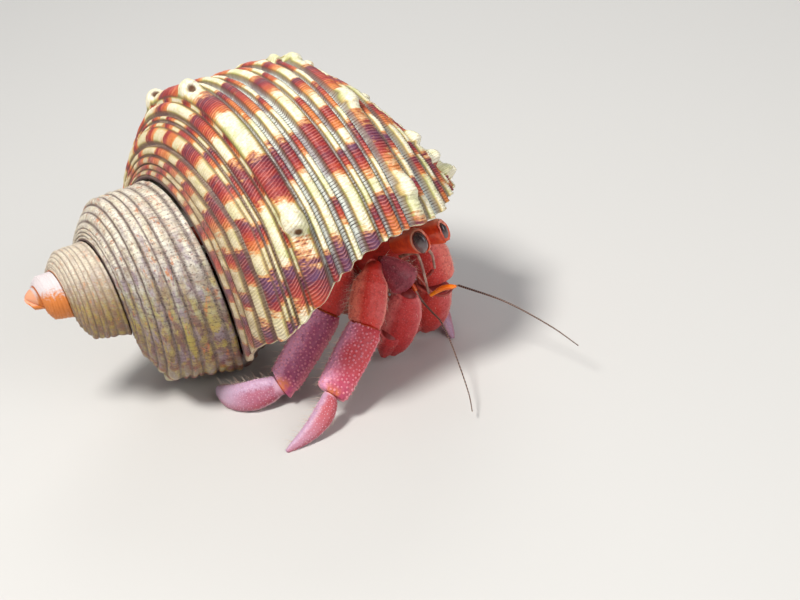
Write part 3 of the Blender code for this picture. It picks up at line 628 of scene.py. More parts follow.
def shell_material():
    s = Surface("turban_shell", 0.42, coat=0.1, coat_roughness=0.3)
    mix, spread, noise = s.mix, s.spread, s.noise
    angle, knot, size, crest, dark, sweep = s.values("angle", "knot", "size", "crest", "dark", "sweep")
    scale, lamella, tick, stripe, cup = s.values("scale", "lamella", "tick", "stripe", "cup")
    upside, worn = s.values("upside", "worn")
    skin = s.place(angle * 0.5, knot * 5.5, size * 3.0)  # about a millimetre each at full size
    region, broad, fine = noise(skin, 0.1, 1, 0.5), noise(skin, 0.35, 3, 0.6), noise(skin, 2.4, 4, 0.6)
    streaks = noise(s.place(angle, knot * 0.6, 0.0), 1.1, 3, 0.7)

    # The cords: cream, broken by patches that start purple and end orange.
    shade = dark * 0.5 + 0.5 + (region - 0.5) * 0.7 + (broad - 0.5) * 1.1 + (streaks - 0.5) * 0.9
    shade = shade + (fine - 0.5) * 0.35 + (stripe - 0.65) * 0.25 - spread(scale, 0.12, 0.5) * 0.7
    through = sweep * 0.4 + 0.5 + (region - 0.47) * 1.3 + (broad - 0.5) * 0.5 + (streaks - 0.5) * 0.9
    through = through + (stripe - 0.65) * 0.4 - spread(angle, 62.0, 84.0, 0.0, 0.3)
    patch = s.ramp(through, (0.0, (92, 50, 88)), (0.2, (98, 24, 50)), (0.44, (144, 26, 32)),
                   (0.74, (180, 58, 24)), (1.0, (206, 116, 44)))
    # The cords' flanks are a darker olive cream than their crests: partly their own colour, partly painted
    # shade on the flanks.
    crest_core_share = spread(crest, 0.5, 0.95) * spread(fine, 0.3, 0.55, 0.4, 0.95)
    flank_cream_and_shade = mix(spread(broad, 0.4, 0.6), (208, 180, 108), (182, 180, 104))
    core_cream = mix(spread(broad, 0.45, 0.7), (244, 238, 214), (228, 224, 176))
    # Painted shade in the valley between each two growth lamellae, broken up by noise; on the patches it also
    # gives their own dark striping.
    line = tick + (fine - 0.5) * 0.8
    line = spread(line, 0.1, 0.55) * spread(streaks, 0.3, 0.6, 0.7, 1.0)
    cord = s.coats(
        mix(crest_core_share, flank_cream_and_shade, core_cream),
        (spread(knot, 3.2, 2.2, 0.0, 0.5), (198, 176, 124)),
        (spread(shade, 0.3, 0.56, 0.0, 0.9), (216, 134, 52)),
        (spread(shade, 0.45, 0.74), patch),
        # painted shade: dark brown in the cupped hollows at the ends of the scales
        (spread(cup, 0.3, 0.8), (92, 58, 22)),
        # browner near the suture: the cords' duller colour there, and painted shade where the lip meets the
        # suture
        (spread(knot, 1.9, 0.9) * spread(broad, 0.35, 0.65, 0.12, 0.6), (150, 112, 96)),
        # dark red between the lamellae: on the patches partly their own striping, elsewhere painted shade
        (line * spread(shade, 0.4, 0.7, 0.25, 0.6), (92, 30, 34)),
        # painted highlight: pinkish white on the crests of the growth lamellae over the patches
        (lamella * spread(shade, 0.4, 0.7, 0.0, 0.5), (232, 164, 152)),
    )

    # Between the cords: grey-green below, brown towards the suture, smooth at the base.
    # painted shade: dark lines in the valleys between the lamellae of the gaps
    pale_gap = mix(line, (212, 216, 206), (48, 46, 38))
    brown_gap = mix(line, (160, 138, 118), (58, 38, 40))
    gap = mix(spread(knot, 3.9, 2.9), pale_gap, brown_gap)
    gap = mix(spread(shade, 0.5, 0.8, 0.0, 0.55), gap, (92, 44, 72))
    gap = mix(spread(knot, 10.5, 11.1), gap, mix(broad, (238, 232, 212), (206, 196, 160)))
    fresh = mix(spread(crest, 0.12, 0.42), gap, cord)
    # painted shade: dark brown at the feet of the cords, where they rise from the gaps
    cord_foot_shade = spread(crest, 0.02, 0.18) * spread(crest, 0.62, 0.3)
    fresh = mix(cord_foot_shade * 0.65, fresh, (92, 62, 40))

    def stain(number, low, high, most):
        """Streaks along the cords, each stain in places of its own."""
        where = s.place(angle * 0.07, knot * 2.1, 7.0 * number)
        return spread(noise(where, 1.0, 4, 0.68), low, high, 0.0, most)

    # The early whorls: chalk above, grey and olive at the sides, stained and darker brown below, the
    # darkening underneath partly painted shade.
    facing = upside + ((broad - 0.5) * 1.1 + (fine - 0.5) * 0.3)
    # from dark brown facing down to chalk facing up: partly the worn chalky top, partly painted shade
    # underneath
    chalk = s.ramp(facing * 0.5 + 0.5, (0.12, (118, 88, 62)), (0.34, (166, 144, 82)), (0.5, (170, 168, 138)),
                   (0.66, (198, 192, 180)), (0.84, (236, 228, 208)))
    low_down = spread(facing, 0.5, -0.4, 0.25, 1.0)
    beads = noise(s.place(angle * 0.25, knot * 4.0, 0.0), 1.0, 3, 0.6)
    old = s.coats(
        chalk,
        (spread(noise(skin, 0.55, 2, 0.5), 0.62, 0.72, 0.0, 0.7), (190, 108, 58)),
        (spread(noise(skin, 0.8, 3, 0.6), 0.54, 0.68, 0.0, 0.65), (122, 92, 94)),
        (stain(1, 0.46, 0.6, 0.85) * spread(facing, 0.9, 0.3, 0.3, 1.0), (148, 130, 140)),
        (stain(2, 0.46, 0.58, 0.85) * low_down, (180, 160, 72)),
        (stain(3, 0.48, 0.6, 0.85) * low_down, (116, 76, 80)),
        (stain(4, 0.58, 0.66, 0.8), (204, 122, 66)),
        (spread(beads, 0.54, 0.64) * spread(size, 0.5, 0.3, 0.15, 0.6), (172, 104, 72)),
    )
    groove = mix(spread(fine, 0.42, 0.56), (60, 42, 42), (128, 108, 94))
    groove = mix(stain(5, 0.46, 0.66, 0.7), groove, (146, 126, 124))
    old = mix(spread(crest + (fine - 0.5) * 0.8, 0.2, 0.95), groove, old)
    old = mix(spread(fine, 0.56, 0.66, 0.0, 0.75), old, (74, 54, 56))
    # fainter painted shade between the lamellae of the early whorls
    old = mix(line * 0.35, old, (76, 58, 54))

    # Over both: tan and then orange towards the tip, an orange line and a dark seam along the suture.
    tan = mix(spread(upside, -0.2, 0.8), (188, 150, 90), (224, 206, 180))
    apex = mix(spread(facing, 0.1, 0.6), (222, 128, 52), (226, 214, 214))
    colour = s.coats(
        mix(worn, fresh, old),
        (spread(size, 0.29, 0.22, 0.0, 0.35), tan),
        (spread(size, 0.155, 0.12), apex),
        (spread(knot, 0.5, 0.1) * spread(size, 0.3, 0.16), (214, 112, 40)),
        (spread(knot, 0.28, 0.08) * spread(size, 0.3, 0.45), (80, 56, 56)),
    )
    growth_lines = s.bump(s.math("SINE", angle * (2 * math.pi / 0.5)), 0.12, 0.06)
    return s.finish(colour, s.bump(fine, 0.5, 0.35, growth_lines), spread(fine, 0.3, 0.7, 0.4, 0.65))


def lining_material():
    s = Surface("shell_lining", 0.22, coat=0.3, coat_roughness=0.12)
    cloud = s.noise(s.position(), 220, 3)
    colour = s.ramp(cloud, (0.3, (232, 224, 196)), (0.5, (224, 220, 208)), (0.7, (208, 206, 204)))
    return s.finish(colour, s.bump(cloud, 0.1, 0.2))


# ---------------------------------------------------------------- armour

def place_at(side, out, ahead, height):
    """A point of the body, on its right or left side."""
    return np.array((MIDLINE_X + side * out, BODY_Y - ahead, height)) + SHIFT


OUTER_FACE = np.array((-0.62, -0.62, 0.47))  # the way that the broad side of a right limb faces
GAP, END_TAPER = 0.3, 0.06  # between two pieces of a limb, and as a share of a piece's length
JOINT_PLUG, ROUND_NOSE = 0.55, 0.35  # how far a piece's joint skin and its rounded end reach
# Rings of the joint skin: share of the width, how far back, and softness. Then those of the rounded
# end: share of the width and how far ahead.
PLUG_RINGS = ((0.18, 0.75, 1), (0.5, 0.6, 1), (0.74, 0.3, 1), (0.8, 0.0, 1), (0.93, 0.0, 0.3))
NOSE_RINGS = ((0.96, 0.25), (0.86, 0.45), (0.66, 0.5))

# Forms of limb pieces: share of the length, then breadth, thickness and rise as shares of the largest.
MERUS = ((0, 0.7, 0.7, 0), (0.2, 0.9, 0.9, 0), (0.6, 1.0, 1.0, 0), (1, 0.8, 0.8, 0))
CARPUS = (
    (0, 0.58, 0.6, 0), (0.22, 0.94, 0.9, 0.01), (0.55, 1.02, 1.0, 0.02), (0.86, 0.97, 0.92, 0.02),
    (1, 0.8, 0.7, 0),
)
PROPODUS = (
    (0, 0.82, 0.76, 0), (0.08, 0.97, 0.93, 0), (0.45, 1.0, 1.0, 0), (0.82, 0.95, 0.93, 0),
    (0.94, 0.91, 0.84, 0), (1, 0.78, 0.66, 0),
)
TOE_START = ((0, 0.6, 0.65, 0), (0.1, 0.84, 0.9, 0), (0.32, 1.0, 1.0, 0))
DACTYL = (*TOE_START, (0.6, 0.84, 0.85, 0), (0.82, 0.58, 0.62, 0), (0.95, 0.36, 0.42, 0), (1, 0.2, 0.28, 0))
BLUNT_TOE = (*TOE_START, (0.6, 0.9, 0.9, 0), (0.82, 0.74, 0.74, 0), (0.95, 0.54, 0.56, 0), (1, 0.38, 0.4, 0))
CLAW_MERUS = (
    (0, 0.5, 0.5, 0), (0.12, 0.78, 0.78, 0), (0.4, 1.0, 1.0, 0), (0.72, 0.96, 0.94, 0),
    (0.92, 0.72, 0.7, 0), (1, 0.5, 0.5, 0),
)
WEDGE_WRIST = (
    (0, 0.22, 0.3, 0), (0.25, 0.55, 0.62, 0), (0.55, 0.88, 0.9, 0), (0.82, 1.0, 0.98, 0),
    (0.95, 0.8, 0.76, 0), (1, 0.5, 0.5, 0),
)
FULL_WRIST = (
    (0, 0.5, 0.5, 0), (0.12, 0.8, 0.8, 0), (0.4, 1.0, 1.0, 0), (0.75, 1.0, 0.96, 0), (0.95, 0.94, 0.9, 0),
    (1, 0.86, 0.84, 0),
)
PALM_END = (
    (0.3, 1.02, 1.0, 0), (0.55, 1.02, 0.96, 0), (0.72, 0.88, 0.84, -0.02), (0.88, 0.6, 0.6, -0.06),
    (1, 0.26, 0.28, -0.05),
)
PALM = ((0, 0.5, 0.5, 0), (0.1, 0.8, 0.8, 0), *PALM_END)
FULL_PALM = ((0, 0.84, 0.82, 0), (0.1, 0.94, 0.92, 0), *PALM_END)
FINGER = ((0, 0.62, 0.7, 0), (0.25, 0.72, 0.74, 0.02), (0.6, 0.58, 0.6, 0.02), (1, 0.24, 0.28, -0.02))
EYESTALK = (
    (0, 0.6, 0.7, 0), (0.3, 0.72, 0.84, 0), (0.62, 0.92, 0.97, 0), (0.85, 1.0, 1.0, 0),
    (0.97, 0.86, 0.84, 0), (1, 0.62, 0.6, 0),
)

# Joints of the walking legs: out from the midline, ahead and up. Then breadth, thickness and form of
# their pieces, and breadth, thickness and bow of their toes.
WALKING_LEGS = {
    "right_leg_2": (
        RIGHT, (4.9, 22.0, 7.5), (4.9, 26.2, 14.9), (9.3, 27.5, 9.3), (18.1, 27.7, 4.2), (26.1, 26.2, 0.15),
    ),
    "right_leg_3": (
        RIGHT, (5.6, 15.5, 7.5), (5.5, 21.8, 15.9), (7.9, 19.3, 9.2), (17.4, 17.9, 2.8), (20.4, 8.5, 1.2),
    ),
    "left_leg_2": (
        LEFT, (5.6, 19.0, 7.5), (8.5, 22.0, 13.3), (12.2, 19.4, 10.8), (8.8, 23.3, 3.1), (4.7, 28.9, 0.15),
    ),
    "left_leg_3": (
        LEFT, (5.6, 15.0, 7.5), (11.0, 13.5, 10.8), (16.0, 10.0, 9.3), (20.0, 5.5, 3.4), (23.0, -2.0, 0.15),
    ),
}
LEG_SIZES = {"merus": (2.7, 2.2, MERUS), "carpus": (4.6, 2.8, CARPUS), "propodus": (4.8, 2.9, PROPODUS)}
TOES = {
    "right_leg_2": (2.9, 2.4, (0.5, -0.8, -0.3)),
    "right_leg_3": (4.1, 2.4, (-1.7, -0.4, -0.2)),
    "left_leg_2": (2.6, 2.2, (0.1, 0.2, 0.2)),
    "left_leg_3": (3.3, 2.4, (0.4, 0.2, 0.6)),
}
# Pieces of the claw arms: start, end, breadth, thickness and form.
CLAW_ARMS = {
    "right_claw": (RIGHT, {
        "merus": ((2.4, 21.9, 5.4), (2.7, 24.9, 12.0), 2.6, 2.3, CLAW_MERUS),
        "carpus": ((3.2, 26.5, 16.1), (2.1, 29.6, 12.0), 4.4, 3.3, WEDGE_WRIST),
        "palm": ((2.4, 29.4, 11.0), (3.2, 24.7, 1.3), 4.9, 3.9, PALM),
        "finger": ((4.2, 26.6, 5.4), (3.9, 23.9, 1.2), 4.6, 3.8, FINGER),
    }),
    "left_claw": (LEFT, {
        "merus": ((3.0, 21.9, 5.4), (3.6, 24.8, 11.6), 2.9, 2.5, CLAW_MERUS),
        "carpus": ((4.1, 27.8, 15.4), (4.5, 28.5, 9.3), 5.2, 4.2, FULL_WRIST),
        "palm": ((4.0, 28.1, 8.6), (3.7, 24.7, 1.1), 5.5, 4.5, FULL_PALM),
        "finger": ((2.3, 25.4, 4.4), (2.9, 23.6, 1.0), 5.0, 4.2, FINGER),
    }),
}

# Grains: least spacing, radius, height, tries, and the share kept along the upper edge.
LEG_GRAINS = (0.3, 0.09, 0.05, 1800, 1.0)
PROPODUS_GRAINS = (0.43, 0.175, 0.11, 4200, 0.12)
TOE_GRAINS = (0.3, 0.085, 0.05, 1600, 0.5)
CLAW_GRAINS = (0.3, 0.085, 0.05, 2600, 1.0)
GRAIN_SIDES, GRAIN_RINGS, GRAIN_SCALES = 6, ((1.0, -0.25), (0.7, 0.65)), (0.7, 1.25)
EDGE_START = 0.62  # how near the upper edge grains thin out, 1 being on it
LEG_HAIRS, TOE_HAIRS, CLAW_HAIRS = 220, 260, 90  # tries for each kind of bristle
SHORT_APART, SHORT_LENGTHS, SHORT_WIDTH = 0.3, (0.35, 0.9), 0.06
LONG_APART, LONG_LENGTHS, LONG_WIDTH, LONG_START = 0.4, (0.8, 1.9), 0.055, 0.86
LONG_LIFT, LONG_CURL = 0.8, 0.15
BRISTLE_LEVELS, BRISTLE_SIDES, BRISTLE_ROOT, BRISTLE_TAPER = 5, 3, 0.05, 0.85
MAP_CELLS, MAP_MARGIN, MAP_BRISTLE = 4, 0.05, 0.003  # of the bristles' map: cells each way, margin, bristle
RIB_POWER, RIB_WIDTH, FACE_RIB = 14, 0.035, 0.6  # of the low ribs along a piece's edges and face


def eased(shares, form, column):
    """A column of a form along the piece, its corners rounded off."""
    spots, levels = np.array(form)[:, (0, column)].T
    kernel = np.exp(-np.linspace(-2, 2, 9) ** 2)
    padded = np.pad(np.interp(shares, spots, levels), 4, mode="edge")
    return np.convolve(padded, kernel / kernel.sum(), mode="valid")[:, None, None]


def drawn_back(grid, line, joint, plane, shares, length):
    """Rings moved along the line from a joint where they would pass the plane through it; the shares
    count from there."""
    short = GAP / 2 + END_TAPER * shares * length - (grid - joint) @ plane
    short = np.where((shares == 0) | (short > 0), short, 0)
    return grid + line * (short / np.dot(line, plane))[..., None]


class Limb:
    """One piece of a limb as a fine grid of rings, with what grows on it."""

    def __init__(self, joints, number, breadth, thickness, form, face, bow=(0, 0, 0), sides=56, rings=84,
                 squareness=1.0, crest=0.0):
        start, end = joints[number], joints[number + 1]
        length = np.linalg.norm(end - start)
        line = (end - start) / length
        self.has_next = number + 2 < len(joints)
        flat = unit(np.asarray(face) - np.dot(face, line) * line)
        broad = np.cross(line, flat)
        part = np.linspace(0, 1, rings)[:, None]
        along = part[..., None]
        wide, thick, rise = (eased(part[:, 0], form, column) for column in (1, 2, 3))
        bend = np.array(bow) * 4 * along * (1 - along)
        centre = start + (end - start) * along + broad * rise * breadth + bend
        across, up = (wave[:, None] for wave in waves(sides, squareness))
        grid = centre + broad * (breadth * wide / 2) * across + flat * (thickness * thick / 2) * up
        start_plane = unit(line + unit(start - joints[number - 1])) if number else line
        grid = drawn_back(grid, line, start, start_plane, part, length)
        if self.has_next:
            end_plane = unit(line + unit(joints[number + 2] - end))
            grid = drawn_back(grid, -line, end, -end_plane, 1 - part, length)
        grid[..., 2] = np.maximum(grid[..., 2], 0.0)
        self.normals, self.inside_out = ring_normals(grid)
        self.part, self.line, self.upward = part[:, 0], line, math.copysign(1.0, broad[2])
        self.upper = np.broadcast_to(self.upper_at(np.arange(sides) / sides), grid.shape[:2])
        cosines, sines = waves(sides)
        ribs = np.abs(cosines) ** RIB_POWER + FACE_RIB * bell(sines - 1.0, RIB_WIDTH)
        self.grid = grid + self.normals * (crest * np.sin(np.pi * part) ** 0.5 * ribs)[..., None]

    def at(self, part, around):
        """Points, normals and directions along the piece, at shares of its length and way round."""
        rings, sides = self.grid.shape[:2]
        i = np.clip(part * (rings - 1), 0, rings - 1.001)
        j = (around % 1) * sides
        i0, j0 = i.astype(int), j.astype(int) % sides
        fi, fj = (i - i0)[:, None], (j - np.floor(j))[:, None]
        j1 = (j0 + 1) % sides

        def blend(field):
            return (field[i0, j0] * (1 - fi) * (1 - fj) + field[i0 + 1, j0] * fi * (1 - fj)
                    + field[i0, j1] * (1 - fi) * fj + field[i0 + 1, j1] * fi * fj)

        return blend(self.grid), unit(blend(self.normals)), unit(self.grid[i0 + 1, j0] - self.grid[i0, j0])

    def upper_at(self, around):
        """1 at the upper edge, -1 at the lower."""
        return self.upward * np.cos(2 * np.pi * around)

    def scatter(self, spacing, tries, keep):
        """Random places on the piece, no two nearer than the spacing. The function keep gives the chance
        of each from how near the upper edge it is."""
        part, around = CHANCE.uniform(0.03, 0.97, tries), CHANCE.uniform(0, 1, tries)
        chosen = CHANCE.uniform(0, 1, tries) < keep(self.upper_at(around))
        part, around = part[chosen], around[chosen]
        points = self.at(part, around)[0]
        taken = []
        for k, point in enumerate(points):
            if not taken or np.min(np.sum((points[taken] - point) ** 2, axis=1)) > spacing ** 2:
                taken.append(k)
        return part[taken], around[taken]

    def add_to(self, shape, nose=ROUND_NOSE, **fields):
        """The plate with a rounded end, and the soft skin of its joint at the near end."""
        first, last = self.grid[0], self.grid[-1]
        near, far = first.mean(axis=0), last.mean(axis=0)
        rings = []  # each with how soft it is, its share of the length, and the row that its values are from
        for share, back, soft in PLUG_RINGS:
            rings.append((near + (first - near) * share - self.line * back * JOINT_PLUG, soft, 0.0, 0))
        rings += [(ring, 0.0, part, k) for k, (ring, part) in enumerate(zip(self.grid, self.part))]
        for share, ahead in (*NOSE_RINGS, (0.35, 0.45 if self.has_next else 0.7)):
            ring = far + (last - far) * share + self.line * ahead * nose
            rings.append((ring, 0.0, 1.0, len(self.grid) - 1))
        grids, softs, parts, rows = zip(*rings)
        sides, rows = len(first), list(rows)
        values = {key: np.broadcast_to(field, self.upper.shape)[rows] for key, field in fields.items()}
        shape.tube(np.array(grids), self.inside_out, {"soft": (1, 0), "part": (0, 1)},
                   soft=np.repeat(softs, sides), part=np.repeat(parts, sides), upper=self.upper[rows],
                   rim=np.abs(self.upper[rows]), **values)


def add_domes(shape, points, normals, leans, radii, heights, **values):
    """Low rounded grains, each of two rings and a top, sunk a little into the plate."""
    sides, count = GRAIN_SIDES, len(points)
    side = unit(np.cross(normals, leans))
    ahead = np.cross(side, normals)
    rings = [(points + normals * (heights * high)[:, None])[:, None]
             + hoops(side, ahead, sides) * (radii * wide)[:, None, None]
             for wide, high in GRAIN_RINGS]
    grains = np.concatenate([*rings, (points + normals * heights[:, None])[:, None]], axis=1)
    step = 2 * sides + 1
    caps = end_fan(sides + np.arange(sides), 2 * sides, True)
    each = {key: np.repeat(given, step) for key, given in values.items()}
    belt = tube_quads(len(GRAIN_RINGS), sides)
    shape.add(grains, repeated(belt, count, step), repeated(caps, count, step), grain=1.0, **each)


class Bristles:
    """Thin tapering bristles gathered into one mesh, with a map that puts each at its root's place."""

    def __init__(self, name):
        self.name, self.shape, self.roots, self.cell = name, Shape(), [], 0

    def grow(self, points, normals, leans, lengths, width, part, around, lift=0.5, curl=0.5):
        """Adds bristles that rise along their normals by the share lift of their length, lean over by
        the rest, and curl."""
        levels, sides, count = BRISTLE_LEVELS, BRISTLE_SIDES, len(points)
        side = unit(np.cross(normals, leans))
        shares = np.arange(levels) / (levels - 1)
        spine = [points + (normals * lift * t + leans * ((1 - lift) * t + curl * t * t)) * lengths[:, None]
                 for t in shares]
        spine[0] = points - normals * BRISTLE_ROOT
        rings = []
        for level, t in enumerate(shares):
            ahead = unit(spine[min(level + 1, levels - 1)] - spine[max(level - 1, 0)])
            hoop = hoops(side, unit(np.cross(side, ahead)), sides)
            rings.append(spine[level][:, None] + hoop * (width * (1 - BRISTLE_TAPER * t) / 2))
        step = levels * sides
        caps = ((2, 1, 0), (step - 3, step - 2, step - 1))
        self.shape.add(np.concatenate(rings, axis=1), repeated(tube_quads(levels, sides), count, step),
                       repeated(caps, count, step))
        row, column = divmod(self.cell, MAP_CELLS)
        self.cell += 1
        inner = 1 - 2 * MAP_MARGIN
        root = np.stack([column + MAP_MARGIN + inner * (around % 1), row + MAP_MARGIN + inner * part], axis=1)
        spot = np.stack([np.tile(np.arange(sides) / (sides - 1), levels), np.repeat(shares, sides)], axis=1)
        self.roots.append(((root / MAP_CELLS)[:, None] + spot * MAP_BRISTLE).reshape(-1, 2))

    def make(self, surface):
        made = self.shape.mesh(self.name, surface)
        corner = np.empty(len(made.data.loops), np.int32)
        made.data.loops.foreach_get("vertex_index", corner)
        layer = made.data.uv_layers.new(name="OFBake")
        layer.data.foreach_set("uv", np.concatenate(self.roots)[corner].astype(np.float32).reshape(-1))
        return made


def armour_material(name, low, middle, high, deep, soft, grain, tip=None, warm=None, collar=None, flat=False):
    """Limy armour that runs from its lower edge over its face to its upper edge, paler on its grains."""
    s = Surface(name, 0.5, coat=0.05, coat_roughness=0.4, subsurface=0.05)
    mix, spread = s.mix, s.spread
    where = s.position()
    broad, fine = s.noise(where, 420, 3, 0.6), s.noise(where, 2600, 3, 0.6)
    upper, part, rim, warmth, grains, softness = s.values("upper", "part", "rim", "warm", "grain", "soft")
    place = upper * 0.5 + 0.5 + (broad - 0.5) * 0.5
    face_end, edge_start = (0.48, 0.7) if flat else (0.6, 0.82)
    colour = s.ramp(place, (0.02, low), (0.25, middle), (face_end, middle), (edge_start, high), (1.0, high))
    darker = spread(fine, 0.45, 0.7, 0.0, 0.6) * spread(place, 1.0, 0.6, 0.3 if flat else 1.0, 1.0)
    colour = mix(darker, colour, deep)
    if warm:
        share = warmth * spread(place, 0.9, 0.5, 0.1, 0.85) * spread(part, 1.0, 0.5, 0.35, 1.0)
        colour = mix(share, colour, warm)
    if tip:
        share = spread(part, 0.25, 0.85) * spread(place, 0.05, 0.4, 0.3, 0.9)
        colour = mix(share * spread(warmth, 0.0, 1.0, 1.0, 0.45), colour, tip)
        colour = mix(spread(part, 0.07, 0.02) * spread(place, 0.2, 0.6, 0.2, 0.8), colour, grain)
    # a pale line along both edges of each piece: partly their pale rims, partly painted highlight
    colour = mix(spread(rim, 0.9, 1.0) * spread(fine, 0.3, 0.6, 0.3, 0.85), colour, grain)
    if collar:
        share = spread(part, 0.88, 0.99) * spread(rim, 0.55, 0.2) * spread(fine, 0.4, 0.5, 0.35, 0.9)
        colour = mix(share, colour, collar)
    colour = mix(grains * (0.6 if flat else 0.22), colour, grain)
    colour = mix(softness, colour, soft)
    pits = s.bump(s.cells(where, 1700), 0.4, 0.1)
    return s.finish(colour, s.bump(fine, 0.4, 0.1, pits), spread(fine, 0.3, 0.7, 0.42, 0.62))


def plain_armour(name, pale, deep, roughness, scale=900):
    s = Surface(name, roughness, coat=0.1, subsurface=0.08)
    cloud = s.noise(s.position(), scale, 3, 0.6)
    colour = s.mix(s.spread(cloud, 0.35, 0.65), pale, deep)
    uneven = s.spread(cloud, 0.3, 0.7, roughness - 0.08, roughness + 0.1)
    return s.finish(colour, s.bump(cloud, 0.25, 0.08), uneven)


def whip_material():
    """Feeler joints: dark rings with paler ends."""
    s = Surface("brown_whip", 0.45)
    joint, = s.values("joint")
    colour = s.mix(s.spread(joint, 0.25, 0.6), (164, 140, 122), (74, 48, 40))
    return s.finish(colour, s.bump(s.noise(s.position(), 4000, 2), 0.2, 0.04))


def stalk_material():
    s = Surface("eyestalk", 0.3, coat=0.35, coat_roughness=0.15, subsurface=0.1)
    upper, socket = s.values("upper", "socket")
    cloud = s.noise(s.position(), 700, 3, 0.6)
    colour = s.coats(
        s.mix(s.spread(cloud, 0.35, 0.65), (226, 84, 40), (196, 52, 26)),
        # painted highlight: paler pink along the stalk's upper side
        (s.spread(upper, 0.55, 0.95, 0.0, 0.6), (240, 156, 130)),
        (s.spread(socket, 0.35, 0.8, 0.0, 0.8), (238, 168, 140)),
    )
    return s.finish(colour, s.bump(cloud, 0.25, 0.08))


def cornea_material():
    """Grey-brown with a dark spot at the top, finely faceted."""
    s = Surface("cornea", 0.2, coat=0.5, coat_roughness=0.08)
    upper, = s.values("upper")
    where = s.position()
    height = upper + (s.noise(where, 900, 3, 0.6) - 0.5) * 0.35
    colour = s.ramp(height, (0.0, (92, 66, 56)), (0.15, (126, 104, 100)), (0.45, (104, 86, 88)),
                    (0.65, (74, 54, 56)), (0.82, (42, 30, 34)), (1.0, (78, 56, 54)))
    return s.finish(colour, s.bump(s.cells(where, 9000), 0.15, 0.02))


def make_limb(name, limb, surface, grains, bristles, hairs, warm=0.0):
    """Builds one plate with its grains, and grows its bristles: short ones along both edges, and a
    few long ones along the upper edge."""
    shape = Shape()
    limb.add_to(shape, warm=warm)
    spacing, radius, height, tries, on_edge = grains
    part, around = limb.scatter(spacing, tries, lambda upper: 1 - (1 - on_edge) * (upper > EDGE_START))
    scale = CHANCE.uniform(*GRAIN_SCALES, len(part))
    add_domes(shape, *limb.at(part, around), radius * scale, height * scale, part=part,
              upper=limb.upper_at(around), warm=np.full(len(part), warm))
    dress(shape.mesh(name + "_armour", surface), [name])
    part, around = limb.scatter(SHORT_APART, hairs, lambda upper: 0.12 + 0.7 * np.abs(upper) ** 6)
    lengths = CHANCE.uniform(*SHORT_LENGTHS, len(part)) * (0.35 + 0.65 * np.abs(limb.upper_at(around)) ** 4)
    bristles.grow(*limb.at(part, around), lengths, SHORT_WIDTH, part, around)
    part, around = limb.scatter(LONG_APART, hairs, lambda upper: upper > LONG_START)
    lengths = CHANCE.uniform(*LONG_LENGTHS, len(part))
    bristles.grow(*limb.at(part, around), lengths, LONG_WIDTH, part, around, LONG_LIFT, LONG_CURL)


def legs(surfaces, bristle_surface):
    for name, (side, *spots) in WALKING_LEGS.items():
        joints = [place_at(side, *spot) for spot in spots]
        face = OUTER_FACE * (-side, 1, 1)
        warm = 1.0 if "_2" in name else 0.0
        bristles = Bristles(name + "_bristles")
        for number, (piece, (breadth, thickness, form)) in enumerate(LEG_SIZES.items()):
            flat = piece == "propodus"
            limb = Limb(joints, number, breadth, thickness, form, face, squareness=0.78 if flat else 0.92,
                        crest=0.0 if flat else 0.16)
            make_limb(f"{name}_{piece}", limb, surfaces[piece],
                      PROPODUS_GRAINS if flat else LEG_GRAINS, bristles, LEG_HAIRS, warm)
        breadth, thickness, bow = TOES[name]
        form = BLUNT_TOE if name == "right_leg_3" else DACTYL
        limb = Limb(joints, 3, breadth, thickness, form, face, bow, squareness=0.9)
        make_limb(f"{name}_dactyl", limb, surfaces["dactyl"], TOE_GRAINS, bristles, TOE_HAIRS,
                  warm)
        dress(bristles.make(bristle_surface), [])


def claws(surfaces, bristle_surface):
    for name, (side, pieces) in CLAW_ARMS.items():
        bristles = Bristles(name + "_bristles")
        for piece, (start, end, breadth, thickness, form) in pieces.items():
            joints = [place_at(side, *start), place_at(side, *end)]
            limb = Limb(joints, 0, breadth, thickness, form, OUTER_FACE, rings=110, crest=0.12)
            surface = surfaces.get((side, piece), surfaces[side])
            make_limb(f"{name}_{piece}", limb, surface, CLAW_GRAINS, bristles, CLAW_HAIRS)
        dress(bristles.make(bristle_surface), [])


# ---------------------------------------------------------------- body, eyes and feelers

# Cross-sections of the body: how far ahead, half width, bottom and top.
CARAPACE_SECTIONS = (
    (12.6, 2.6, 11.6, 14.6), (14.0, 3.5, 11.1, 15.8), (17.5, 4.0, 11.0, 16.6), (21.0, 3.9, 11.4, 16.7),
    (24.0, 3.0, 12.7, 16.3), (26.0, 1.9, 13.2, 15.6), (26.8, 0.8, 13.7, 15.2),
)
THORAX_SECTIONS = (
    (11.0, 2.6, 6.6, 9.8), (12.5, 3.7, 4.9, 10.5), (16.0, 4.1, 4.3, 10.7), (19.5, 3.7, 4.2, 10.7),
    (21.0, 2.9, 5.0, 10.5),
)
CARAPACE_RINGS, CARAPACE_SIDES, CARAPACE_SQUARENESS = 120, 96, 0.8
ABDOMEN_REACH = (0.36, 0.5, 0.64, 0.78, 0.9, 0.96)  # shares of the shell's hollow
SKIN_RINGS, SKIN_SIDES, SKIN_INSET, SKIN_SLACK = 130, 72, LIP_THICKNESS + 3.0, 0.96
SKIN_FOLDS, SKIN_FOLD_WAVE, SKIN_FOLD_DEPTH, SKIN_SHRINK = 120, 1.5, 0.05, 0.1
THORAX_SIDES, FOOT_STEPS = 96, 30  # of the rings that the skin is drawn from
EYESTALK_DEPTH, EYESTALK_WIDTH, EYESTALK_NOSE = 3.5, 1.7, 0.3
EYESTALKS = {
    "right": (RIGHT, (1.3, 27.4, 16.9), (2.7, 34.6, 20.05)),
    "left": (LEFT, (1.1, 27.4, 16.9), (2.5, 33.7, 18.6)),
}
CORNEA_SIZE = np.array((1.2, 2.5, 3.1))
SOCKET_SIZE = CORNEA_SIZE / 2 * 1.1
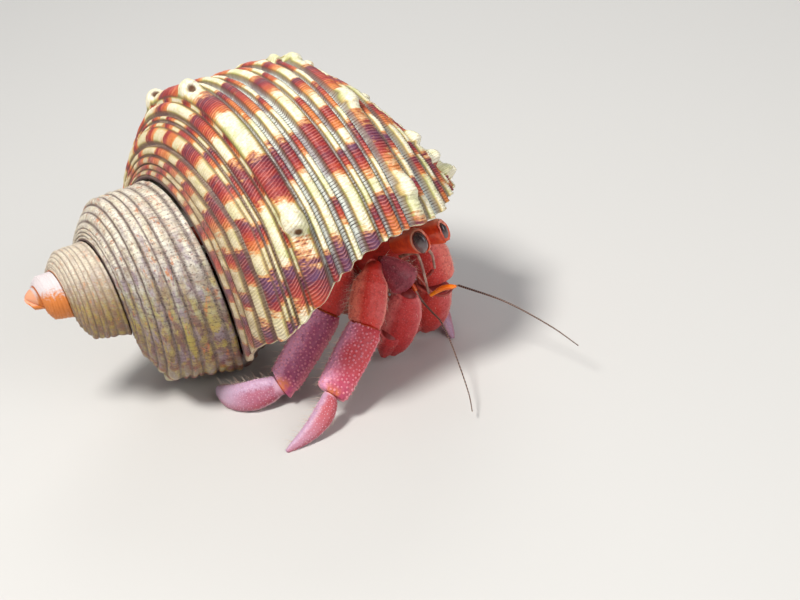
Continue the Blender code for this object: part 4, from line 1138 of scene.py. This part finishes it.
RIM_HEIGHT, RIM_REACH, RIM_WIDTH, RIM_DEEPEST = 0.09, 1.08, 0.16, -1.2  # the last three in socket sizes
# Where a cornea's middle lies from its stalk's tip: out to the side, back and down. Then its turn
# towards the tip.
CORNEA_SPOTS = {"right": (0.58, 0.6, 0.13, 6.0), "left": (0.25, 0.78, 0.12, 44.0)}
CORNEA_LEAN = 20.0  # of its top towards the tip
CORNEA_RINGS, CORNEA_SIDES, CORNEA_NARROWING = 40, 64, 0.22
# Feelers and mouth legs: side, surface, radius at the start and the end, and path.
MOUTH_LEG = ((0.75, 21.6, 8.6), (0.8, 24.0, 8.0), (0.75, 25.0, 5.2))
FEELERS = {
    "right_antennule_stem": (
        RIGHT, "amber", 0.231, 0.165,
        (0.7, 27.6, 15.2), (0.9, 30.4, 16.3), (1.2, 31.6, 15.6), (2.0, 32.7, 11.3),
    ),
    "right_antennule_tip": (
        RIGHT, "club", 0.455, 0.325, (2.0, 33.0, 11.2), (1.9, 35.2, 12.6), (1.7, 37.3, 13.2),
    ),
    "left_antennule_stem": (
        LEFT, "amber", 0.231, 0.165,
        (0.6, 27.6, 15.2), (0.9, 30.4, 16.2), (1.2, 31.5, 15.4), (1.8, 31.0, 12.8),
    ),
    "left_antennule_tip": (
        LEFT, "dusky", 0.245, 0.175, (1.8, 30.6, 12.4), (1.5, 30.0, 11.7), (1.0, 29.5, 11.0),
    ),
    "right_antenna_stem": (
        RIGHT, "orange", 0.425, 0.2975, (0.2, 27.2, 13.4), (-0.2, 27.3, 11.6), (-0.3, 28.2, 9.6),
    ),
    "right_antenna_whip": (
        RIGHT, "brown", 0.16, 0.07, (-0.2, 28.6, 9.0), (-0.1, 29.6, 7.9), (0.3, 31.0, 7.2), (0.8, 32.6, 6.5),
        (2.2, 34.8, 5.3), (4.7, 37.9, 4.1), (8.5, 42.3, 2.4), (10.6, 44.3, 1.3),
    ),
    "left_antenna_stem": (
        LEFT, "dusky", 0.225, 0.15, (0.8, 27.4, 13.6), (1.3, 29.8, 9.4), (2.4, 31.2, 8.4), (4.4, 31.4, 8.7),
    ),
    "left_antenna_whip": (
        LEFT, "brown", 0.16, 0.07, (4.7, 31.9, 8.8), (4.0, 40.0, 8.4), (3.2, 47.5, 6.8), (2.6, 52.1, 5.2),
    ),
    "right_mouth_leg": (RIGHT, "orange", 0.4675, 0.34, *MOUTH_LEG),
    "left_mouth_leg": (LEFT, "orange", 0.4675, 0.34, *MOUTH_LEG),
}
FEELER_RING, FEELER_SIDES, FEWEST_RINGS, STEM_WAIST, STEM_WAIST_LENGTH = 0.12, 16, 40, 0.15, 0.3
TIP_JOINT, TIP_WAIST, TIP_TAPER, CLUB_NECK = 0.22, 0.1, 0.35, 0.4
WHIP_RING, WHIP_SIDES, WHIP_JOINT, WHIP_WAIST, WHIP_ROOT_RINGS = 0.07, 12, 0.32, 0.16, 8
WHIP_BEND, WHIP_BEND_RADIUS = 0.3, 0.125  # the share of its length up to which a whip thins fast


def round_tube(shape, path, radii, sides, **values):
    """A round tube whose sides don't twist along its path."""
    ahead = unit(np.gradient(path, axis=0))
    side, firsts = unit(np.cross(ahead[0], (0.3, 0.2, 1.0))), []
    for direction in ahead:
        side = unit(side - np.dot(side, direction) * direction)
        firsts.append(side)
    firsts = np.array(firsts)
    rings = path[:, None] + radii[:, None, None] * hoops(firsts, np.cross(ahead, firsts), sides)
    shape.tube(rings, **{key: np.repeat(given, sides) for key, given in values.items()})


def feelers(surfaces):
    for name, (side, kind, start, end, *spots) in FEELERS.items():
        knots = [place_at(side, *spot) for spot in spots]
        length = np.sum(np.linalg.norm(np.diff(along_curve(knots, np.linspace(0, 1, 200)), axis=0), axis=1))
        rings = int(length / WHIP_RING) if kind == "brown" else max(FEWEST_RINGS, int(length / FEELER_RING))
        shares = np.linspace(0, 1, rings)
        wide, path = np.interp(shares, (0, 1), (start, end)), along_curve(knots, shares)
        shape = Shape()
        if kind == "brown":
            joint = np.abs(np.sin(np.pi * shares * length / WHIP_JOINT))
            wide = np.interp(shares, (0, WHIP_BEND, 1), (start, WHIP_BEND_RADIUS, end))
            wide = wide * (1 - WHIP_WAIST * (1 - joint ** 0.5))
            stem_end = place_at(side, *FEELERS[name.replace("whip", "stem")][-1])
            root = np.arange(WHIP_ROOT_RINGS) / WHIP_ROOT_RINGS
            path = np.concatenate([stem_end + root[:, None] * (knots[0] - stem_end), path])
            wide, joint = (np.concatenate([level[0] + 0 * root, level]) for level in (wide, joint))
            round_tube(shape, path, wide, WHIP_SIDES, joint=joint)
        else:
            if name.endswith("tip"):
                joint = np.abs(np.sin(np.pi * shares * length / TIP_JOINT))
                wide = wide * (1 - TIP_WAIST * (1 - joint)) * (1 - TIP_TAPER * smooth(shares, 0.8, 1.0))
            else:
                wide = wide * (1 - STEM_WAIST * bell((shares - 0.5) * length, STEM_WAIST_LENGTH))
            if kind == "club":
                wide = wide * (1 - CLUB_NECK * (1 - smooth(shares, 0.0, 0.55)))
            round_tube(shape, path, wide, FEELER_SIDES)
        dress(shape.mesh(name + "_fine", surfaces[kind]), [name])


def eyes(stalk_surface, cornea_surface):
    for name, (side, base, tip) in EYESTALKS.items():
        joints = [place_at(side, *base), place_at(side, *tip)]
        across = np.array((float(side), 0, 0))
        limb = Limb(joints, 0, EYESTALK_DEPTH, EYESTALK_WIDTH, EYESTALK, across, sides=72, rings=120)
        upright = np.cross(limb.line, across) * side
        out, back, down, turn = CORNEA_SPOTS[name]
        centre = joints[1] + across * out - limb.line * back - upright * down
        face, flat = turned(across, limb.line, turn)
        top, ahead = turned(upright, flat, CORNEA_LEAN)
        axes = np.array((face, ahead, top))

        # The stalk is hollowed behind the cornea, with a raised rim round it.
        local = (limb.grid - centre) @ axes.T / SOCKET_SIZE
        reach = np.sqrt(np.sum(local[..., 1:] ** 2, axis=-1))
        floor = -np.sqrt(np.maximum(1 - reach ** 2, 0))
        push = np.where(np.abs(local[..., 0]) < -floor, (local[..., 0] - floor) * SOCKET_SIZE[0], 0)
        limb.grid = limb.grid - face * push[..., None]
        socket = np.where(local[..., 0] > RIM_DEEPEST, bell(reach - RIM_REACH, RIM_WIDTH), 0)
        limb.grid = limb.grid + face * (RIM_HEIGHT * socket)[..., None]
        shape = Shape()
        limb.add_to(shape, EYESTALK_NOSE, socket=socket)
        dress(shape.mesh(f"{name}_eyestalk_armour", stalk_surface), [f"{name}_eyestalk"])

        fall = np.linspace(0.02, np.pi - 0.02, CORNEA_RINGS)[:, None]
        x, y = (np.sin(fall) * wave for wave in waves(CORNEA_SIDES))
        z = np.cos(fall) + 0 * x
        narrow = 1 - CORNEA_NARROWING * smooth(-z, 0.2, 1.0)
        ball = np.stack([x, y * narrow, z], axis=-1) * CORNEA_SIZE / 2
        shape = Shape()
        shape.tube(centre + ball @ axes, side == RIGHT, {"upper": (1, 0)}, upper=z / 2 + 0.5)
        dress(shape.mesh(f"{name}_cornea", cornea_surface), [f"{name}_eye"])


def body_ring(ahead, half_width, bottom, top, across, up):
    """A ring round the body's midline, across and up being from -1 to 1 round it."""
    height = (top - bottom) / 2
    centre = place_at(RIGHT, 0, ahead, bottom + height)
    return centre + np.stack([half_width * across, 0 * across, height * up], axis=1)


def carapace(surface):
    across, up = waves(CARAPACE_SIDES, CARAPACE_SQUARENESS, np.pi / CARAPACE_SIDES)
    sections = along_curve(CARAPACE_SECTIONS, np.linspace(0, 1, CARAPACE_RINGS))
    grid = np.array([body_ring(*section, across, up) for section in sections])
    shape = Shape()
    shape.tube(grid, ring_normals(grid)[1])
    dress(shape.mesh("carapace_shield", surface), ["carapace"])


def resampled(ring, sides):
    """A closed ring at even spacing, starting at its highest point."""
    ring = np.roll(ring, -int(np.argmax(ring[:, 2])), axis=0)
    loop = np.vstack([ring, ring[:1]])
    run = np.concatenate([[0], np.cumsum(np.linalg.norm(np.diff(loop, axis=0), axis=1))])
    spots = np.linspace(0, run[-1], sides, endpoint=False)
    return np.stack([np.interp(spots, run, loop[:, axis]) for axis in range(3)], axis=1)


def matched(ring, before):
    """The ring's points in the order, and from the start, that lies nearest the ring before it."""
    ways = [np.roll(way, shift, axis=0) for way in (ring, ring[::-1]) for shift in range(len(ring))]
    return min(ways, key=lambda way: np.sum((way - before) ** 2))


def soft_body(surface):
    """One skin over the thorax and the abdomen that curls up into the shell."""
    up, across = waves(THORAX_SIDES)
    rings = [body_ring(*section, SKIN_SLACK * across, SKIN_SLACK * up)
             for section in reversed(THORAX_SECTIONS)]
    knots = np.concatenate([np.arange(0, 9, 0.5), np.arange(9, LAST_KNOT + 1)])
    base = knots[knots > SUTURE_POINT][::-1]
    steps = np.arange(1, FOOT_STEPS) / FOOT_STEPS
    rings += [hollow_ring(depth, SKIN_INSET, knots, base, steps) for depth in ABDOMEN_REACH]
    rings = [resampled(ring, SKIN_SIDES) for ring in rings]
    for k in range(1, len(rings)):
        rings[k] = matched(rings[k], rings[k - 1])
    shares = np.linspace(0, 1, SKIN_RINGS)
    grid = along_curve(rings, shares)
    folds = np.sin(shares[:, None] * SKIN_FOLDS + SKIN_FOLD_WAVE * waves(SKIN_SIDES)[1])
    normals, inside_out = ring_normals(grid)
    shape = Shape()
    shape.tube(grid + normals * (SKIN_FOLD_DEPTH * folds - SKIN_SHRINK)[..., None], inside_out)
    dress(shape.mesh("soft_body", surface), ["abdomen", "thorax"])


# ---------------------------------------------------------------- assembly

dress(make_shell(shell_material(), lining_material()), ["shell"])

# Armour: the colours of its lower edge, face, upper edge, hollows, joint skin and grains.
CORAL = armour_material("coral_armour", (204, 92, 90), (204, 46, 34), (222, 112, 92), (160, 34, 30),
                        (206, 92, 48), (232, 150, 134))
LEFT_CLAW = armour_material("coral_claw", (206, 92, 92), (196, 48, 40), (224, 112, 98), (156, 30, 34),
                            (120, 26, 24), (236, 160, 150))
CRIMSON = armour_material("crimson_armour", (196, 74, 76), (186, 38, 38), (212, 104, 100), (142, 28, 36),
                          (120, 26, 24), (228, 140, 136))
PLUM = armour_material("plum_armour", (150, 48, 58), (126, 34, 50), (162, 72, 84), (84, 20, 34),
                       (110, 30, 30), (206, 116, 120))
LILAC = armour_material("lilac_armour", (212, 118, 134), (164, 64, 104), (214, 146, 176), (124, 42, 84),
                        (206, 108, 60), (234, 150, 164), warm=(198, 52, 54), collar=(200, 110, 68), flat=True)
TOE = armour_material("toe_armour", (164, 64, 80), (170, 98, 118), (184, 148, 174), (138, 66, 92),
                      (206, 108, 60), (212, 170, 186), tip=(188, 160, 182), warm=(184, 76, 80), flat=True)
FEELER_SURFACES = {
    "orange": plain_armour("orange_feeler", (226, 104, 36), (196, 66, 24), 0.35),
    "club": plain_armour("orange_club", (255, 142, 20), (246, 108, 10), 0.3),
    "dusky": plain_armour("dusky_feeler", (176, 70, 52), (140, 44, 34), 0.4),
    "amber": plain_armour("amber_feeler", (172, 138, 122), (138, 96, 84), 0.35),
    "brown": whip_material(),
}
BRISTLE = plain_armour("bristle", (240, 226, 208), (214, 178, 150), 0.5)

legs({"merus": CORAL, "carpus": CORAL, "propodus": LILAC, "dactyl": TOE}, BRISTLE)
claws({RIGHT: CRIMSON, LEFT: LEFT_CLAW, (RIGHT, "carpus"): PLUM}, BRISTLE)
carapace(CORAL)
soft_body(plain_armour("soft_skin", (206, 104, 76), (170, 66, 52), 0.45, 500))
eyes(stalk_material(), cornea_material())
feelers(FEELER_SURFACES)


# ---------------------------------------------------------------- floor, lights and camera

FLOOR_REACH = 3.0  # metres
LIGHT_TARGET = (0, 0, 0.015)
# Lights: spot, size and power, in metres and watts, and colour.
LIGHTS = {
    "key": ((-0.22, 0.0, 0.42), 0.12, 2.4, (1.0, 0.98, 0.95)),
    "fill": ((-0.05, -0.5, 0.25), 0.4, 1.3, (0.97, 0.98, 1.0)),
    "rear": ((0.35, 0.3, 0.3), 0.3, 0.6, (1, 1, 1)),
}
SKY, SKY_STRENGTH = (0.82, 0.86, 0.92, 1), 0.3
VIEW_TURN, VIEW_RISE, VIEW_ROLL = 45.0, 28.0, 12.0  # from the front towards the crab's right, up and round
CAMERA_SPOT = Vector((-147.3497, -180.6254, 126.0782) + SHIFT) * MM


def make_floor():
    mesh = bpy.data.meshes.new("floor")
    corners = [(x * FLOOR_REACH, y * FLOOR_REACH, 0) for x, y in ((-1, -1), (1, -1), (1, 1), (-1, 1))]
    mesh.from_pydata(corners, [], [(0, 1, 2, 3)])
    s = Surface("floor", 0.7)
    cloud = s.noise(s.position(), 3, 2)
    mesh.materials.append(s.finish(s.mix(cloud, (206, 204, 200), (200, 198, 194))))
    floor = bpy.data.objects.new("floor", mesh)
    bpy.context.scene.collection.objects.link(floor)


def area_light(name, spot, size, power, colour):
    light = bpy.data.lights.new(name, "AREA")
    light.shape = "DISK"
    light.size = size
    light.energy = power
    light.color = colour
    made = bpy.data.objects.new(name, light)
    made.location = spot
    made.rotation_euler = (Vector(LIGHT_TARGET) - Vector(spot)).to_track_quat("-Z", "Y").to_euler()
    bpy.context.scene.collection.objects.link(made)


def make_world():
    world = bpy.data.worlds.new("studio")
    bpy.context.scene.world = world
    world.use_nodes = True
    background = world.node_tree.nodes["Background"]
    background.inputs["Color"].default_value = SKY
    background.inputs["Strength"].default_value = SKY_STRENGTH


def make_camera():
    camera = bpy.data.cameras.new("camera")
    camera.lens = 85
    camera.sensor_width = 36
    camera.clip_start = 0.01
    turn, rise = math.radians(VIEW_TURN), math.radians(VIEW_RISE)
    level = np.array((math.cos(turn), -math.sin(turn), 0))
    plumb = np.array((math.sin(turn) * math.sin(rise), math.cos(turn) * math.sin(rise), math.cos(rise)))
    up, right = turned(plumb, level, VIEW_ROLL)
    made = bpy.data.objects.new("camera", camera)
    facing = Matrix((right, up, np.cross(right, up))).transposed()
    made.matrix_world = Matrix.Translation(CAMERA_SPOT) @ facing.to_4x4()
    bpy.context.scene.collection.objects.link(made)
    bpy.context.scene.camera = made


make_floor()
for name, given in LIGHTS.items():
    area_light(name, *given)
make_world()
make_camera()
bpy.context.scene.view_settings.view_transform = "Standard"

bpy.context.view_layer.update()
